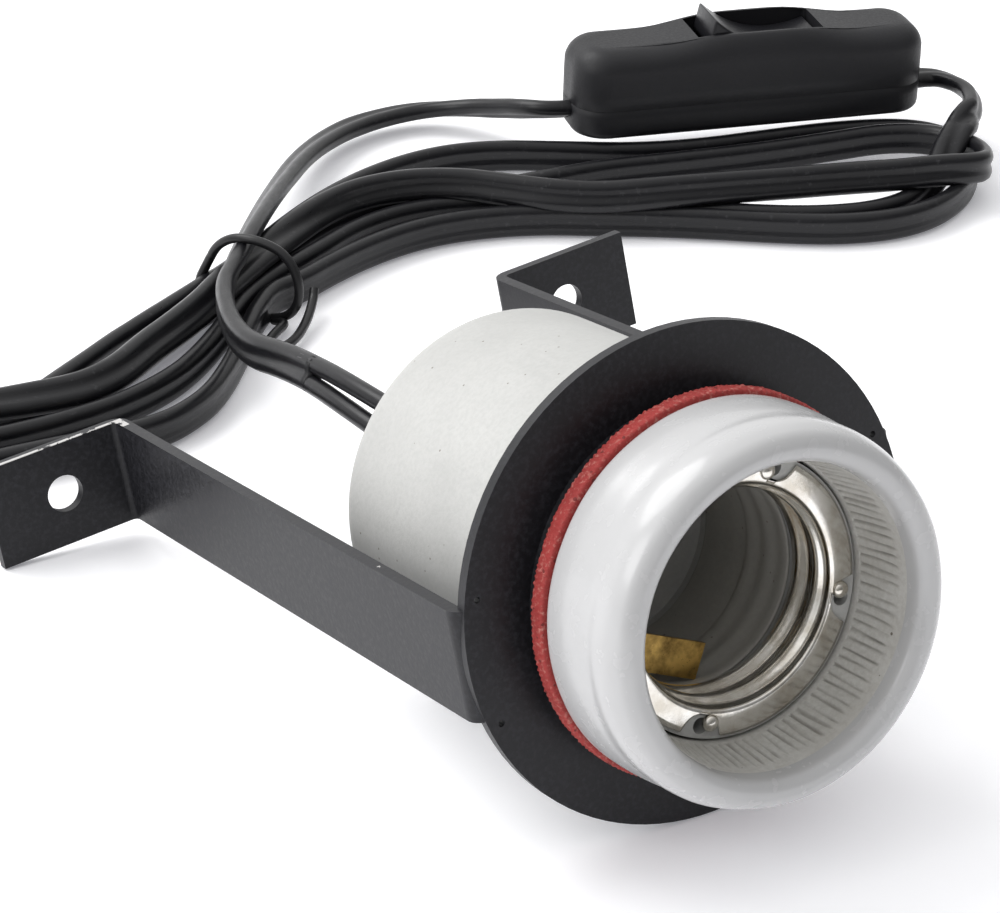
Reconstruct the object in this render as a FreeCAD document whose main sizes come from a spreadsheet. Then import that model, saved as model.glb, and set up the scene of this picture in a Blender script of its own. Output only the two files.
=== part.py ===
"""Porcelain screw-socket lamp fixture on a two-foot steel bracket, with its flat cord and rocker switch.

Fixture pieces are drawn in the socket's own frame: x along the bracket's feet, y across them, z along
the socket axis towards its mouth, with the front face of the bracket's ring at z = 0. The fixture then
lies on its side, on the ring's edge, the body's rear edge and one foot's corner, as it is set down.
"""
import FreeCAD, Part
import Sketcher
import math
import os

from FreeCAD import Placement, Rotation, Vector

SIZES = {
    # Bracket
    "sheet_thickness": 1.5,
    "ring_radius": 30.2,
    "strap_width": 14.0,
    "arm_half_span": 30.5,
    "arm_length": 90.0,
    "foot_half_span": 50.0,
    "foot_hole_offset": 39.5,
    "foot_hole_radius": 2.5,
    "bend_radius": 0.8,
    "relief_radius": 0.4,
    "relief_inset": 2.7,
    "seat_rise": 2.8,
    "seat_radius": 21.0,
    # Porcelain socket
    "fit_gap": 0.35,
    "neck_radius": 16.9,
    "neck_length": 8.45,
    "body_radius": 22.8,
    "body_depth": 43.6,
    "body_edge": 3.8,
    "cavity_radius": 13.4,
    "cavity_depth": 18.0,
    "recess_radius": 16.5,
    "recess_depth": 12.6,
    "gasket_thickness": 2.4,
    "gasket_radius": 23.5,
    "collar_radius": 22.4,
    "collar_waist": 22.0,
    "collar_length": 14.6,
    "collar_bore_front": 18.2,
    "lip_round": 2.0,
    # Threaded shell and contacts
    "shell_radius": 13.4,
    "shell_wall": 0.35,
    "thread_pitch": 3.6,
    "thread_rise": 0.8,
    "flange_radius": 16.5,
    "notch_radius": 2.0,
    "stake_offset": 15.4,
    "stake_radius": 0.9,
    "stake_head": 1.4,
    "stake_head_height": 0.6,
    "stake_length": 5.0,
    "strip_thickness": 0.6,
    "strip_width": 4.5,
    "contact_rise": 3.6,
    "side_arm": 10.0,
    "rivet_radius": 1.2,
    "rivet_head_height": 0.6,
    "terminal_thickness": 1.0,
    "terminal_screw_radius": 1.4,
    "terminal_screw_length": 3.4,
    "terminal_head_height": 1.6,
    "terminal_lift": 1.2,
    "core_radius": 1.0,
    "core_offset": 1.1,
    "strand_radius": 0.55,
    "cover_thickness": 2.0,
    "cover_set": 1.2,
    "cover_hole_radius": 2.3,
    "cover_screw_radius": 1.2,
    "cover_screw_length": 5.0,
    "screw_slot": 0.7,
    "post_radius": 2.2,
    # Switch
    "switch_length": 61.0,
    "switch_width": 15.0,
    "switch_height": 13.6,
    "base_height": 6.0,
    "case_wall": 1.4,
    "case_corner": 4.0,
    "case_round": 2.6,
    "inlet_height": 3.2,
    "inlet_radius": 2.0,
    "window_length": 21.8,
    "window_width": 9.6,
    "rocker_length": 18.8,
    "rocker_rise": 4.6,
    "rocker_tilt": 12.0,
    "rocker_offset": 1.2,
    "seesaw_tilt": 8.0,
    "seesaw_length": 14.0,
    "seesaw_width": 4.0,
    "seesaw_thickness": 0.6,
    "fulcrum_radius": 0.8,
    "rocker_pin_radius": 1.2,
    "case_screw_radius": 1.1,
    "case_screw_offset": 19.0,
    # Cord, tie and plug
    "cord_width": 5.4,
    "hank_height": 6.0,
    "tie_radius": 0.8,
    "plug_length": 28.0,
    "plug_width": 25.0,
    "plug_thickness": 14.0,
    "blade_spacing": 12.7,
    "blade_length": 16.0,
}


class Size:
    """A length with the sheet formula that gives it."""

    def __init__(self, value, text):
        self.value = value
        self.text = text

    @staticmethod
    def of(other):
        if isinstance(other, Size):
            return other
        return Size(float(other), repr(float(other)))

    def combine(self, other, sign, value):
        return Size(value, "(%s %s %s)" % (self.text, sign, Size.of(other).text))

    def __add__(self, other):
        return self.combine(other, "+", self.value + Size.of(other).value)

    def __sub__(self, other):
        return self.combine(other, "-", self.value - Size.of(other).value)

    def __mul__(self, other):
        return self.combine(other, "*", self.value * Size.of(other).value)

    def __truediv__(self, other):
        return self.combine(other, "/", self.value / Size.of(other).value)

    def __radd__(self, other):
        return Size.of(other) + self

    def __rsub__(self, other):
        return Size.of(other) - self

    def __neg__(self):
        return Size(0.0, "0.0") - self


doc = FreeCAD.newDocument("lamp_fixture")
sheet = doc.addObject("Spreadsheet::Sheet", "Sizes")
for row, (alias, number) in enumerate(SIZES.items(), start=1):
    sheet.set("A%d" % row, alias)
    sheet.set("B%d" % row, str(number))
    sheet.setAlias("B%d" % row, alias)
doc.recompute()
S = {alias: Size(float(sheet.get(alias)), "Sizes." + alias) for alias in SIZES}
N = {alias: size.value for alias, size in S.items()}
pieces = []


def keep(item, label, place=None):
    """Marks an object as a finished piece under its own name, and puts it in its place."""
    item.Label = label
    if place is not None:
        item.Placement = place
    pieces.append(item)
    return item


def bind(item, **sizes):
    for name, size in sizes.items():
        item.setExpression(name, Size.of(size).text)
    return item


def solid_part(label, shape, place=None):
    item = doc.addObject("Part::Feature", label)
    item.Shape = shape
    return keep(item, label, place)


def cylinder(name, radius, height, base=(0, 0, 0), axis=Vector(0, 0, 1)):
    item = doc.addObject("Part::Cylinder", name)
    item.Placement = Placement(Vector(*base), Rotation(Vector(0, 0, 1), axis))
    return bind(item, Radius=radius, Height=height)


def box(name, length, width, height, corner):
    item = doc.addObject("Part::Box", name)
    item.Placement = Placement(Vector(*corner), Rotation())
    return bind(item, Length=length, Width=width, Height=height)


def fuse(name, shapes):
    item = doc.addObject("Part::MultiFuse", name)
    item.Shapes = shapes
    return item


def cut(name, base, tools):
    item = doc.addObject("Part::Cut", name)
    item.Base = base
    item.Tool = tools[0] if len(tools) == 1 else fuse(name + "_tools", tools)
    return item


def group(name, shapes):
    item = doc.addObject("Part::Compound", name)
    item.Links = shapes
    return item


def plane_of(body, role):
    return next(plane for plane in body.Origin.OriginFeatures if plane.Role == role)


def outline(body, points, role="XZ_Plane"):
    """A closed sketch through the points, each tied to the sheet."""
    sketch = body.newObject("Sketcher::SketchObject", body.Name + "_sketch")
    sketch.AttachmentSupport = (plane_of(body, role), "")
    sketch.MapMode = "FlatFace"
    corners = [(Size.of(x), Size.of(y)) for x, y in points]
    spots = [Vector(x.value, y.value, 0) for x, y in corners]
    for start, end in zip(spots, spots[1:] + spots[:1]):
        sketch.addGeometry(Part.LineSegment(start, end), False)
    for index in range(len(spots)):
        following = (index + 1) % len(spots)
        sketch.addConstraint(Sketcher.Constraint("Coincident", index, 2, following, 1))
    for index, (x, y) in enumerate(corners):
        for kind, size, axis in (("DistanceX", x, -2), ("DistanceY", y, -1)):
            if abs(size.value) < 1e-9:
                sketch.addConstraint(Sketcher.Constraint("PointOnObject", index, 1, axis))
                continue
            number = sketch.addConstraint(
                Sketcher.Constraint(kind, -1, 1, index, 1, size.value))
            sketch.setExpression("Constraints[%d]" % number, size.text)
    return sketch


def turned(name, points):
    """A body turned about the socket axis from an outline of (radius, height) points."""
    body = doc.addObject("PartDesign::Body", name)
    sketch = outline(body, points)
    spin = body.newObject("PartDesign::Revolution", name + "_turn")
    spin.Profile = sketch
    spin.ReferenceAxis = (sketch, ["V_Axis"])
    spin.Angle = 360
    doc.recompute()
    return body


def strip(name, points, width):
    """A body extruded evenly to both sides from a side outline of (x, z) points."""
    body = doc.addObject("PartDesign::Body", name)
    sketch = outline(body, points)
    pad = body.newObject("PartDesign::Pad", name + "_pad")
    pad.Profile = sketch
    pad.Midplane = True
    pad.setExpression("Length", Size.of(width).text)
    doc.recompute()
    return body


def edge_names(shape, test):
    return ["Edge%d" % (i + 1) for i, edge in enumerate(shape.Edges) if test(edge)]


def near(value, target):
    return abs(value - target) < 0.02


def round_edges(body, name, radius, test):
    tip = body.Tip
    fillet = body.newObject("PartDesign::Fillet", name)
    fillet.Base = (tip, edge_names(tip.Shape, test))
    fillet.setExpression("Radius", Size.of(radius).text)
    body.Tip = fillet
    doc.recompute()
    return fillet


def circle_at(radius, height):
    """True for a full circle of this radius about the z axis at this height."""
    def test(edge):
        curve = edge.Curve
        if curve.TypeId != "Part::GeomCircle":
            return False
        return near(curve.Radius, radius) and near(curve.Center.z, height)
    return test


def bend_at(spots):
    """True for a fold line across the strap at one of the (x, z) spots."""
    def test(edge):
        if edge.Curve.TypeId != "Part::GeomLine":
            return False
        a, b = edge.Vertexes[0].Point, edge.Vertexes[-1].Point
        along = abs(a.y - b.y) > 1.0 and near(a.x, b.x) and near(a.z, b.z)
        return along and any(near(a.x, x) and near(a.z, z) for x, z in spots)
    return test


def upright(edge):
    a, b = edge.Vertexes[0].Point, edge.Vertexes[-1].Point
    return near(a.x, b.x) and near(a.y, b.y) and abs(a.z - b.z) > 1.0


def level_at(height):
    """True for every edge that lies at this height."""
    def test(edge):
        return all(near(vertex.Point.z, height) for vertex in edge.Vertexes)
    return test


def polar(radius, degrees):
    turn = math.radians(degrees)
    return radius * math.cos(turn), radius * math.sin(turn)


# How the fixture lies: pitch lifts the mouth until the ring's rear edge and the body's rear edge
# touch the ground, and roll drops one foot's corner onto it.
reach = N["body_depth"] - N["body_edge"] - N["sheet_thickness"]
drop = N["ring_radius"] - N["body_radius"] + N["body_edge"]
PITCH = math.acos(N["body_edge"] / math.hypot(reach, drop)) - math.atan2(reach, drop)
foot_drop = N["ring_radius"] - N["arm_length"] * math.tan(PITCH)
foot_reach = math.hypot(N["foot_half_span"], N["strap_width"] / 2)
ROLL = math.asin(foot_drop / foot_reach) - math.atan2(N["strap_width"] / 2, N["foot_half_span"])
lying = Placement(Vector(), Rotation(Vector(1, 0, 0), 90 - math.degrees(PITCH))
                  * Rotation(Vector(0, 0, 1), math.degrees(ROLL)))


# Bracket: a ring with a raised seat, two arms folded back from its edge and two feet folded outwards.
def make_bracket():
    sheet_t = S["sheet_thickness"]
    seat_in = S["neck_radius"] + S["fit_gap"]
    ring = turned("bracket_ring", [
        (S["ring_radius"], -sheet_t),
        (S["ring_radius"], 0),
        (S["seat_radius"] + 0.7, 0),
        (S["seat_radius"], S["seat_rise"]),
        (seat_in, S["seat_rise"]),
        (seat_in, S["seat_rise"] - sheet_t),
        (S["seat_radius"] - sheet_t, S["seat_rise"] - sheet_t),
        (S["seat_radius"] - sheet_t + 0.7, -sheet_t),
    ])
    outer = S["arm_half_span"]
    inner = outer - sheet_t
    back = -S["arm_length"]
    toe = S["foot_half_span"]
    start = S["seat_radius"] + 1.5
    strap = strip("bracket_strap", [
        (start, 0), (outer, 0), (outer, back), (toe, back), (toe, back - sheet_t),
        (inner, back - sheet_t), (inner, -sheet_t), (start, -sheet_t),
    ], S["strap_width"])
    inside = S["bend_radius"]
    far = -N["arm_length"]
    span = N["arm_half_span"]
    thick = N["sheet_thickness"]
    round_edges(strap, "strap_inside_bends", inside,
                bend_at([(span - thick, -thick), (span, far)]))
    round_edges(strap, "strap_outside_bends", inside + sheet_t,
                bend_at([(span, 0), (span - thick, far - thick)]))
    twin = doc.addObject("Part::Mirroring", "bracket_strap_twin")
    twin.Source = strap
    twin.Base = Vector(0, 0, 0)
    twin.Normal = Vector(1, 0, 0)
    tools = []
    for side in (-1, 1):
        spot = (side * N["foot_hole_offset"], 0, far - 2 * thick)
        hole = cylinder("foot_hole", S["foot_hole_radius"], sheet_t * 4, spot)
        hole.setExpression("Placement.Base.x", (S["foot_hole_offset"] * side).text)
        tools.append(hole)
        for edge in (-1, 1):
            spot = (side * (N["ring_radius"] - N["relief_inset"]),
                    edge * (N["strap_width"] / 2 + 2 * N["relief_radius"]), -2 * thick)
            tools.append(cylinder("bend_relief", S["relief_radius"], sheet_t * 4, spot))
    bracket = cut("bracket", fuse("bracket_blank", [ring, strap, twin]), tools)
    keep(bracket, "mounting_bracket", lying)


def make_gasket():
    inner = S["neck_radius"] + S["fit_gap"]
    low = S["seat_rise"]
    high = low + S["gasket_thickness"]
    gasket = turned("gasket", [
        (inner, low), (S["gasket_radius"], low), (S["gasket_radius"], high), (inner, high)])
    keep(gasket, "clamp_gasket", lying)


# Collar: the glazed front ring that screws onto the body's neck and clamps the bracket.
def make_collar():
    base = S["seat_rise"] + S["gasket_thickness"]
    front = base + S["collar_length"]
    bore = S["neck_radius"] + S["fit_gap"]
    seat = S["neck_length"] + 0.6
    collar = turned("collar", [
        (bore, base),
        (S["collar_radius"], base),
        (S["collar_waist"], base + 5.0),
        (S["collar_radius"], front - 4.5),
        (S["collar_radius"], front),
        (S["collar_bore_front"], front),
        (S["collar_bore_front"], front - 2.4),
        (bore, seat),
    ])
    top = N["seat_rise"] + N["gasket_thickness"] + N["collar_length"]
    rims = [circle_at(N["collar_radius"], top), circle_at(N["collar_bore_front"], top)]
    round_edges(collar, "collar_lip", S["lip_round"],
                lambda edge: any(test(edge) for test in rims))
    keep(collar, "retaining_ring", lying)


# Places in the rear recess, as (x, y) in the socket's frame.
CENTRE_RIVET = (-7.0, 0.0)
SIDE_ROOT = (-9.0, -6.2)
SIDE_TURN = -30.0
SIDE_FOOT = 2.6
SIDE_RIVET = (SIDE_ROOT[0] + polar(SIDE_FOOT, SIDE_TURN)[0],
              SIDE_ROOT[1] + polar(SIDE_FOOT, SIDE_TURN)[1])
SCREW_SPOTS = ((-7.0, 8.0), (5.5, -6.5))
POST_SPOTS = ((12.4, 5.0), (-13.0, 3.0))
STAKE_TURNS = (-22.0, -117.0, 58.0)


def make_body():
    sheet_t = S["sheet_thickness"]
    seat = S["seat_rise"] - sheet_t
    rear = -S["body_depth"]
    recess_floor = rear + S["recess_depth"]
    step_out = S["seat_radius"] - sheet_t - 0.3
    well = S["shell_radius"] + S["shell_wall"] + S["fit_gap"]
    well_floor = S["neck_length"] - S["thread_pitch"] * 2 - 0.6
    body = turned("porcelain", [
        (0, -S["cavity_depth"]),
        (S["cavity_radius"], -S["cavity_depth"]),
        (S["cavity_radius"], well_floor),
        (well, well_floor),
        (well, S["neck_length"]),
        (S["neck_radius"], S["neck_length"]),
        (S["neck_radius"], seat),
        (step_out, seat),
        (step_out, -sheet_t),
        (S["body_radius"], -sheet_t),
        (S["body_radius"], rear),
        (S["recess_radius"], rear),
        (S["recess_radius"], recess_floor),
        (0, recess_floor),
    ])
    round_edges(body, "porcelain_rear_edge", S["body_edge"],
                circle_at(N["body_radius"], -N["body_depth"]))
    floor = N["recess_depth"] - N["body_depth"]
    adds = [body]
    tools = []
    cover_seat = S["recess_depth"] - S["cover_set"] - S["cover_thickness"]
    for x, y in POST_SPOTS:
        adds.append(cylinder("cover_post", S["post_radius"], cover_seat + 0.5,
                             (x, y, floor - cover_seat.value)))
        tools.append(cylinder("cover_screw_hole", S["cover_screw_radius"] + 0.05,
                              S["cover_screw_length"] + 2.0, (x, y, floor - cover_seat.value - 0.1)))
    for x, y in (CENTRE_RIVET, SIDE_RIVET):
        web = S["body_depth"] - S["recess_depth"] - S["cavity_depth"]
        tools.append(cylinder("rivet_hole", S["rivet_radius"] + 0.1, web + 4.0, (x, y, floor - 2)))
    for x, y in SCREW_SPOTS:
        tools.append(cylinder("terminal_screw_hole", S["terminal_screw_radius"] + 0.1,
                              S["terminal_screw_length"] + 0.6, (x, y, floor - 0.5)))
    for turn in STAKE_TURNS:
        x, y = polar(N["stake_offset"], turn)
        tools.append(cylinder("stake_hole", S["stake_radius"] + 0.1, S["stake_length"] + 1.0,
                              (x, y, N["neck_length"] - N["stake_length"] - 0.5)))
    keep(cut("porcelain_body", fuse("porcelain_blank", adds), tools), "lamp_body", lying)


def make_shell():
    wall = S["shell_wall"]
    inner = S["shell_radius"]
    rim = S["neck_length"] + wall
    crest = inner - S["thread_rise"]
    pitch = S["thread_pitch"]
    start = S["neck_length"] - pitch * 0.6
    inside = [(inner, rim), (inner, start), (crest, start - pitch / 2), (inner, start - pitch),
              (crest, start - pitch * 1.4)]
    outside = [(x + wall, y) for x, y in reversed(inside[1:])]
    shell = turned("shell", inside + outside + [
        (inner + wall, S["neck_length"]), (S["flange_radius"], S["neck_length"]),
        (S["flange_radius"], rim)])
    tools = []
    stakes = []
    lip = S["neck_length"] + wall
    for turn in STAKE_TURNS:
        x, y = polar(N["flange_radius"], turn)
        tools.append(cylinder("flange_notch", S["notch_radius"], 2.0,
                              (x, y, N["neck_length"] - 0.5)))
        x, y = polar(N["stake_offset"], turn)
        shank = cylinder("stake_shank", S["stake_radius"], S["stake_length"] + wall,
                         (x, y, N["neck_length"] - N["stake_length"]))
        head = cylinder("stake_head", S["stake_head"], S["stake_head_height"], (x, y, lip.value))
        stakes.append(fuse("stake", [shank, head]))
    keep(cut("threaded_shell", shell, tools), "screw_shell", lying)
    keep(group("stakes", stakes), "shell_stakes", lying)


def make_contacts():
    leaf = S["strip_thickness"]
    floor = -S["cavity_depth"]
    tip = floor + S["contact_rise"]
    centre = strip("centre_leaf", [
        (-9.5, floor), (-4.5, floor), (0.3, tip - leaf), (3.0, tip - leaf * 2), (3.0, tip - leaf),
        (0.0, tip), (-4.8, floor + leaf), (-9.5, floor + leaf)], S["strip_width"])
    hole = S["rivet_radius"] + 0.05
    under_leaf = -N["cavity_depth"] - 1.0
    bore = cylinder("centre_rivet_bore", hole, leaf + 2.0,
                    (CENTRE_RIVET[0], CENTRE_RIVET[1], under_leaf))
    keep(cut("centre_strip", centre, [bore]), "centre_contact", lying)
    top = S["neck_length"] - S["thread_pitch"] * 2 - 1.6
    side = strip("side_leaf", [
        (0, floor), (5.0, floor), (5.0, floor + leaf), (leaf, floor + leaf), (leaf, top - leaf),
        (S["side_arm"], top - leaf * 1.5), (S["side_arm"], top - leaf * 0.5), (0, top)],
        S["strip_width"])
    local = Placement(Vector(SIDE_ROOT[0], SIDE_ROOT[1], 0), Rotation(Vector(0, 0, 1), SIDE_TURN))
    bore = cylinder("side_rivet_bore", hole, leaf + 2.0, (SIDE_FOOT, 0, under_leaf))
    keep(cut("side_strip", side, [bore]), "side_contact", lying * local)
    recess = N["recess_depth"] - N["body_depth"]
    under = recess - N["terminal_thickness"]
    above = N["strip_thickness"] - N["cavity_depth"]
    rivets = []
    cap = S["rivet_head_height"]
    tail_at = under - cap.value
    for x, y in (CENTRE_RIVET, SIDE_RIVET):
        grip = S["body_depth"] - S["recess_depth"] - S["cavity_depth"]
        shank = cylinder("rivet_shank", S["rivet_radius"],
                         grip + leaf + S["terminal_thickness"] + cap * 2, (x, y, tail_at))
        head = cylinder("rivet_head", S["rivet_radius"] * 1.6, cap, (x, y, above))
        tail = cylinder("rivet_tail", S["rivet_radius"] * 1.6, cap, (x, y, tail_at))
        rivets.append(fuse("rivet", [shank, head, tail]))
    keep(group("rivets", rivets), "contact_rivets", lying)
    return under


def make_terminals(under):
    thick = S["terminal_thickness"]
    screw = S["terminal_screw_radius"]
    bars = ((-10.0, -2.0, 6.0, 13.5, CENTRE_RIVET, SCREW_SPOTS[0]),
            (-10.2, -9.8, 19.0, 6.2, SIDE_RIVET, SCREW_SPOTS[1]))
    plates = []
    screws = []
    loops = []
    head_h = S["terminal_head_height"]
    head_at = under - N["terminal_lift"] - head_h.value
    for x, y, length, width, rivet, spot in bars:
        plate = box("terminal_bar", length, width, thick, (x, y, under))
        holes = [cylinder("bar_rivet_hole", S["rivet_radius"] + 0.05, thick * 3,
                          (rivet[0], rivet[1], under - 1)),
                 cylinder("bar_screw_hole", screw + 0.05, thick * 3,
                          (spot[0], spot[1], under - 1))]
        plates.append(cut("terminal_plate", plate, holes))
        shank = cylinder("terminal_screw_shank", screw,
                         S["terminal_screw_length"] + S["terminal_lift"],
                         (spot[0], spot[1], under - N["terminal_lift"]))
        head = cylinder("terminal_screw_head", screw * 2, head_h, (spot[0], spot[1], head_at))
        slot = box("terminal_screw_slot", screw * 5, S["screw_slot"], S["screw_slot"],
                   (spot[0] - screw.value * 2.5, spot[1] - N["screw_slot"] / 2, head_at))
        screws.append(cut("terminal_screw", fuse("screw_blank", [shank, head]), [slot]))
        loop = doc.addObject("Part::Torus", "conductor_loop")
        loop.Placement = Placement(Vector(spot[0], spot[1], under - 0.6), Rotation())
        strand = S["strand_radius"]
        bind(loop, Radius1=screw + 0.75, Radius2=strand)
        inward = Vector(-spot[0], -spot[1], 0).normalize()
        bent = Vector(spot[0], spot[1], under - 0.6) + inward * (N["terminal_screw_radius"] + 0.75)
        loops.append(fuse("bare_strands", [loop, cylinder("strand_tail", strand, 2.0, bent, inward)]))
    keep(group("plates", plates), "terminal_plates", lying)
    keep(group("terminal_screw_set", screws), "terminal_screws", lying)
    keep(group("loops", loops), "conductor_loops", lying)


def make_cores(under):
    """The cord's two cores, from the rear cover's hole to the stripped ends at the screws."""
    rear = N["cover_set"] - N["body_depth"]
    cores = []
    for side, spot in zip((-1, 1), SCREW_SPOTS):
        inward = Vector(-spot[0], -spot[1], 0).normalize()
        end = Vector(spot[0], spot[1], under - 1.3) + inward * (N["terminal_screw_radius"] + 2.8)
        start = Vector(side * N["core_offset"], 0, rear)
        route = [start, start + Vector(0, 0, 2.6), end * 0.55 + start * 0.45 + Vector(0, 0, 1.0), end]
        cores.append(tube("core", route, N["core_radius"]))
    solid_part("lead_conductors", Part.makeCompound(cores), lying)


def make_cover():
    rear = S["cover_set"] - S["body_depth"]
    inside = rear + S["cover_thickness"]
    rim = S["recess_radius"] - 0.3
    hole = S["cover_hole_radius"]
    cover = turned("cover", [(hole, rear), (rim, rear), (rim, inside), (hole, inside)])
    tools = []
    screws = []
    for x, y in POST_SPOTS:
        tools.append(cylinder("cover_hole", S["cover_screw_radius"] + 0.1, 4.0,
                              (x, y, rear.value - 1)))
        shank = cylinder("cover_screw_shank", S["cover_screw_radius"],
                         S["cover_screw_length"] + S["cover_thickness"], (x, y, rear.value))
        head = cylinder("cover_screw_head", S["cover_screw_radius"] * 1.9, S["cover_set"] - 0.1,
                        (x, y, rear.value - N["cover_set"] + 0.1))
        slot = box("cover_screw_slot", S["cover_screw_radius"] * 5, S["screw_slot"],
                   S["screw_slot"],
                   (x - N["cover_screw_radius"] * 2.5, y - N["screw_slot"] / 2, -N["body_depth"]))
        screws.append(cut("cover_screw", fuse("cover_screw_blank", [shank, head]), [slot]))
    keep(cut("cover_disc", cover, tools), "rear_cover", lying)
    keep(group("cover_screw_set", screws), "cover_screws", lying)


# Paths: straight runs joined by tangent arcs, each as large as its two runs allow.
def rounded_path(points, closed=False, share=0.45):
    spots = [Vector(*point) for point in points]
    count = len(spots)
    ends = {}
    radii = []
    for index in range(count):
        if not closed and index in (0, count - 1):
            ends[index] = (spots[index], spots[index])
            continue
        before = spots[index - 1] - spots[index]
        after = spots[(index + 1) % count] - spots[index]
        shorter = min(before.Length, after.Length)
        half_turn = (math.pi - before.getAngle(after)) / 2
        back = share * shorter
        radii.append(back / math.tan(half_turn))
        first = spots[index] + before * (back / before.Length)
        last = spots[index] + after * (back / after.Length)
        ends[index] = (first, last)
    edges = []
    for index in range(count):
        first, last = ends[index]
        if (last - first).Length > 1e-9:
            chord = (first + last) * 0.5 - spots[index]
            half_turn = (math.pi - (first - spots[index]).getAngle(last - spots[index])) / 2
            back = (first - spots[index]).Length
            radius = back / math.tan(half_turn)
            sagitta = math.hypot(radius, back) - radius
            middle = spots[index] + chord * (sagitta / chord.Length)
            edges.append(Part.Arc(first, middle, last).toShape())
        following = (index + 1) % count
        if closed or index < count - 1:
            edges.append(Part.LineSegment(last, ends[following][0]).toShape())
    return Part.Wire(edges), radii


def tube(label, points, radius, closed=False):
    path, radii = rounded_path(points, closed)
    first = path.Edges[0]
    start = first.valueAt(first.FirstParameter)
    along = first.tangentAt(first.FirstParameter)
    ring = Part.Wire([Part.makeCircle(radius, start, along)])
    shape = path.makePipeShell([ring], True, False)
    if shape.ShapeType != "Solid":
        shape = Part.Solid(shape) if shape.ShapeType == "Shell" else shape.Solids[0]
    want = math.pi * radius ** 2 * path.Length
    print("%s: length %.1f mm, volume %.0f of %.0f, tightest radii %s" % (
        label, path.Length, shape.Volume, want, [round(r, 1) for r in sorted(radii)[:4]]))
    return shape


# Switch: drawn in its own frame, x along it, y towards its back, z up, origin in its underside.
SWITCH_SPOT = (116.5, 123.3)
SWITCH_TURN = -15.0
switch_place = Placement(Vector(SWITCH_SPOT[0], SWITCH_SPOT[1], N["hank_height"]),
                         Rotation(Vector(0, 0, 1), SWITCH_TURN))
rocker_place = switch_place * Placement(Vector(N["rocker_offset"], 0, 0), Rotation())
PIVOT_HEIGHT = 11.0
SEESAW_HEIGHT = 3.5


def case_half(name, low, high, round_low):
    length, width = S["switch_length"], S["switch_width"]
    body = doc.addObject("PartDesign::Body", name)
    sketch = outline(body, [(-length / 2, -width / 2), (length / 2, -width / 2),
                            (length / 2, width / 2), (-length / 2, width / 2)], "XY_Plane")
    sketch.AttachmentOffset = Placement(Vector(0, 0, low.value), Rotation())
    pad = body.newObject("PartDesign::Pad", name + "_pad")
    pad.Profile = sketch
    pad.setExpression("Length", (high - low).text)
    doc.recompute()
    round_edges(body, name + "_corners", S["case_corner"], upright)
    if round_low:
        round_edges(body, name + "_round", 0.8, level_at(low.value))
    else:
        round_edges(body, name + "_round", S["case_round"], level_at(high.value))
    return body


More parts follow.
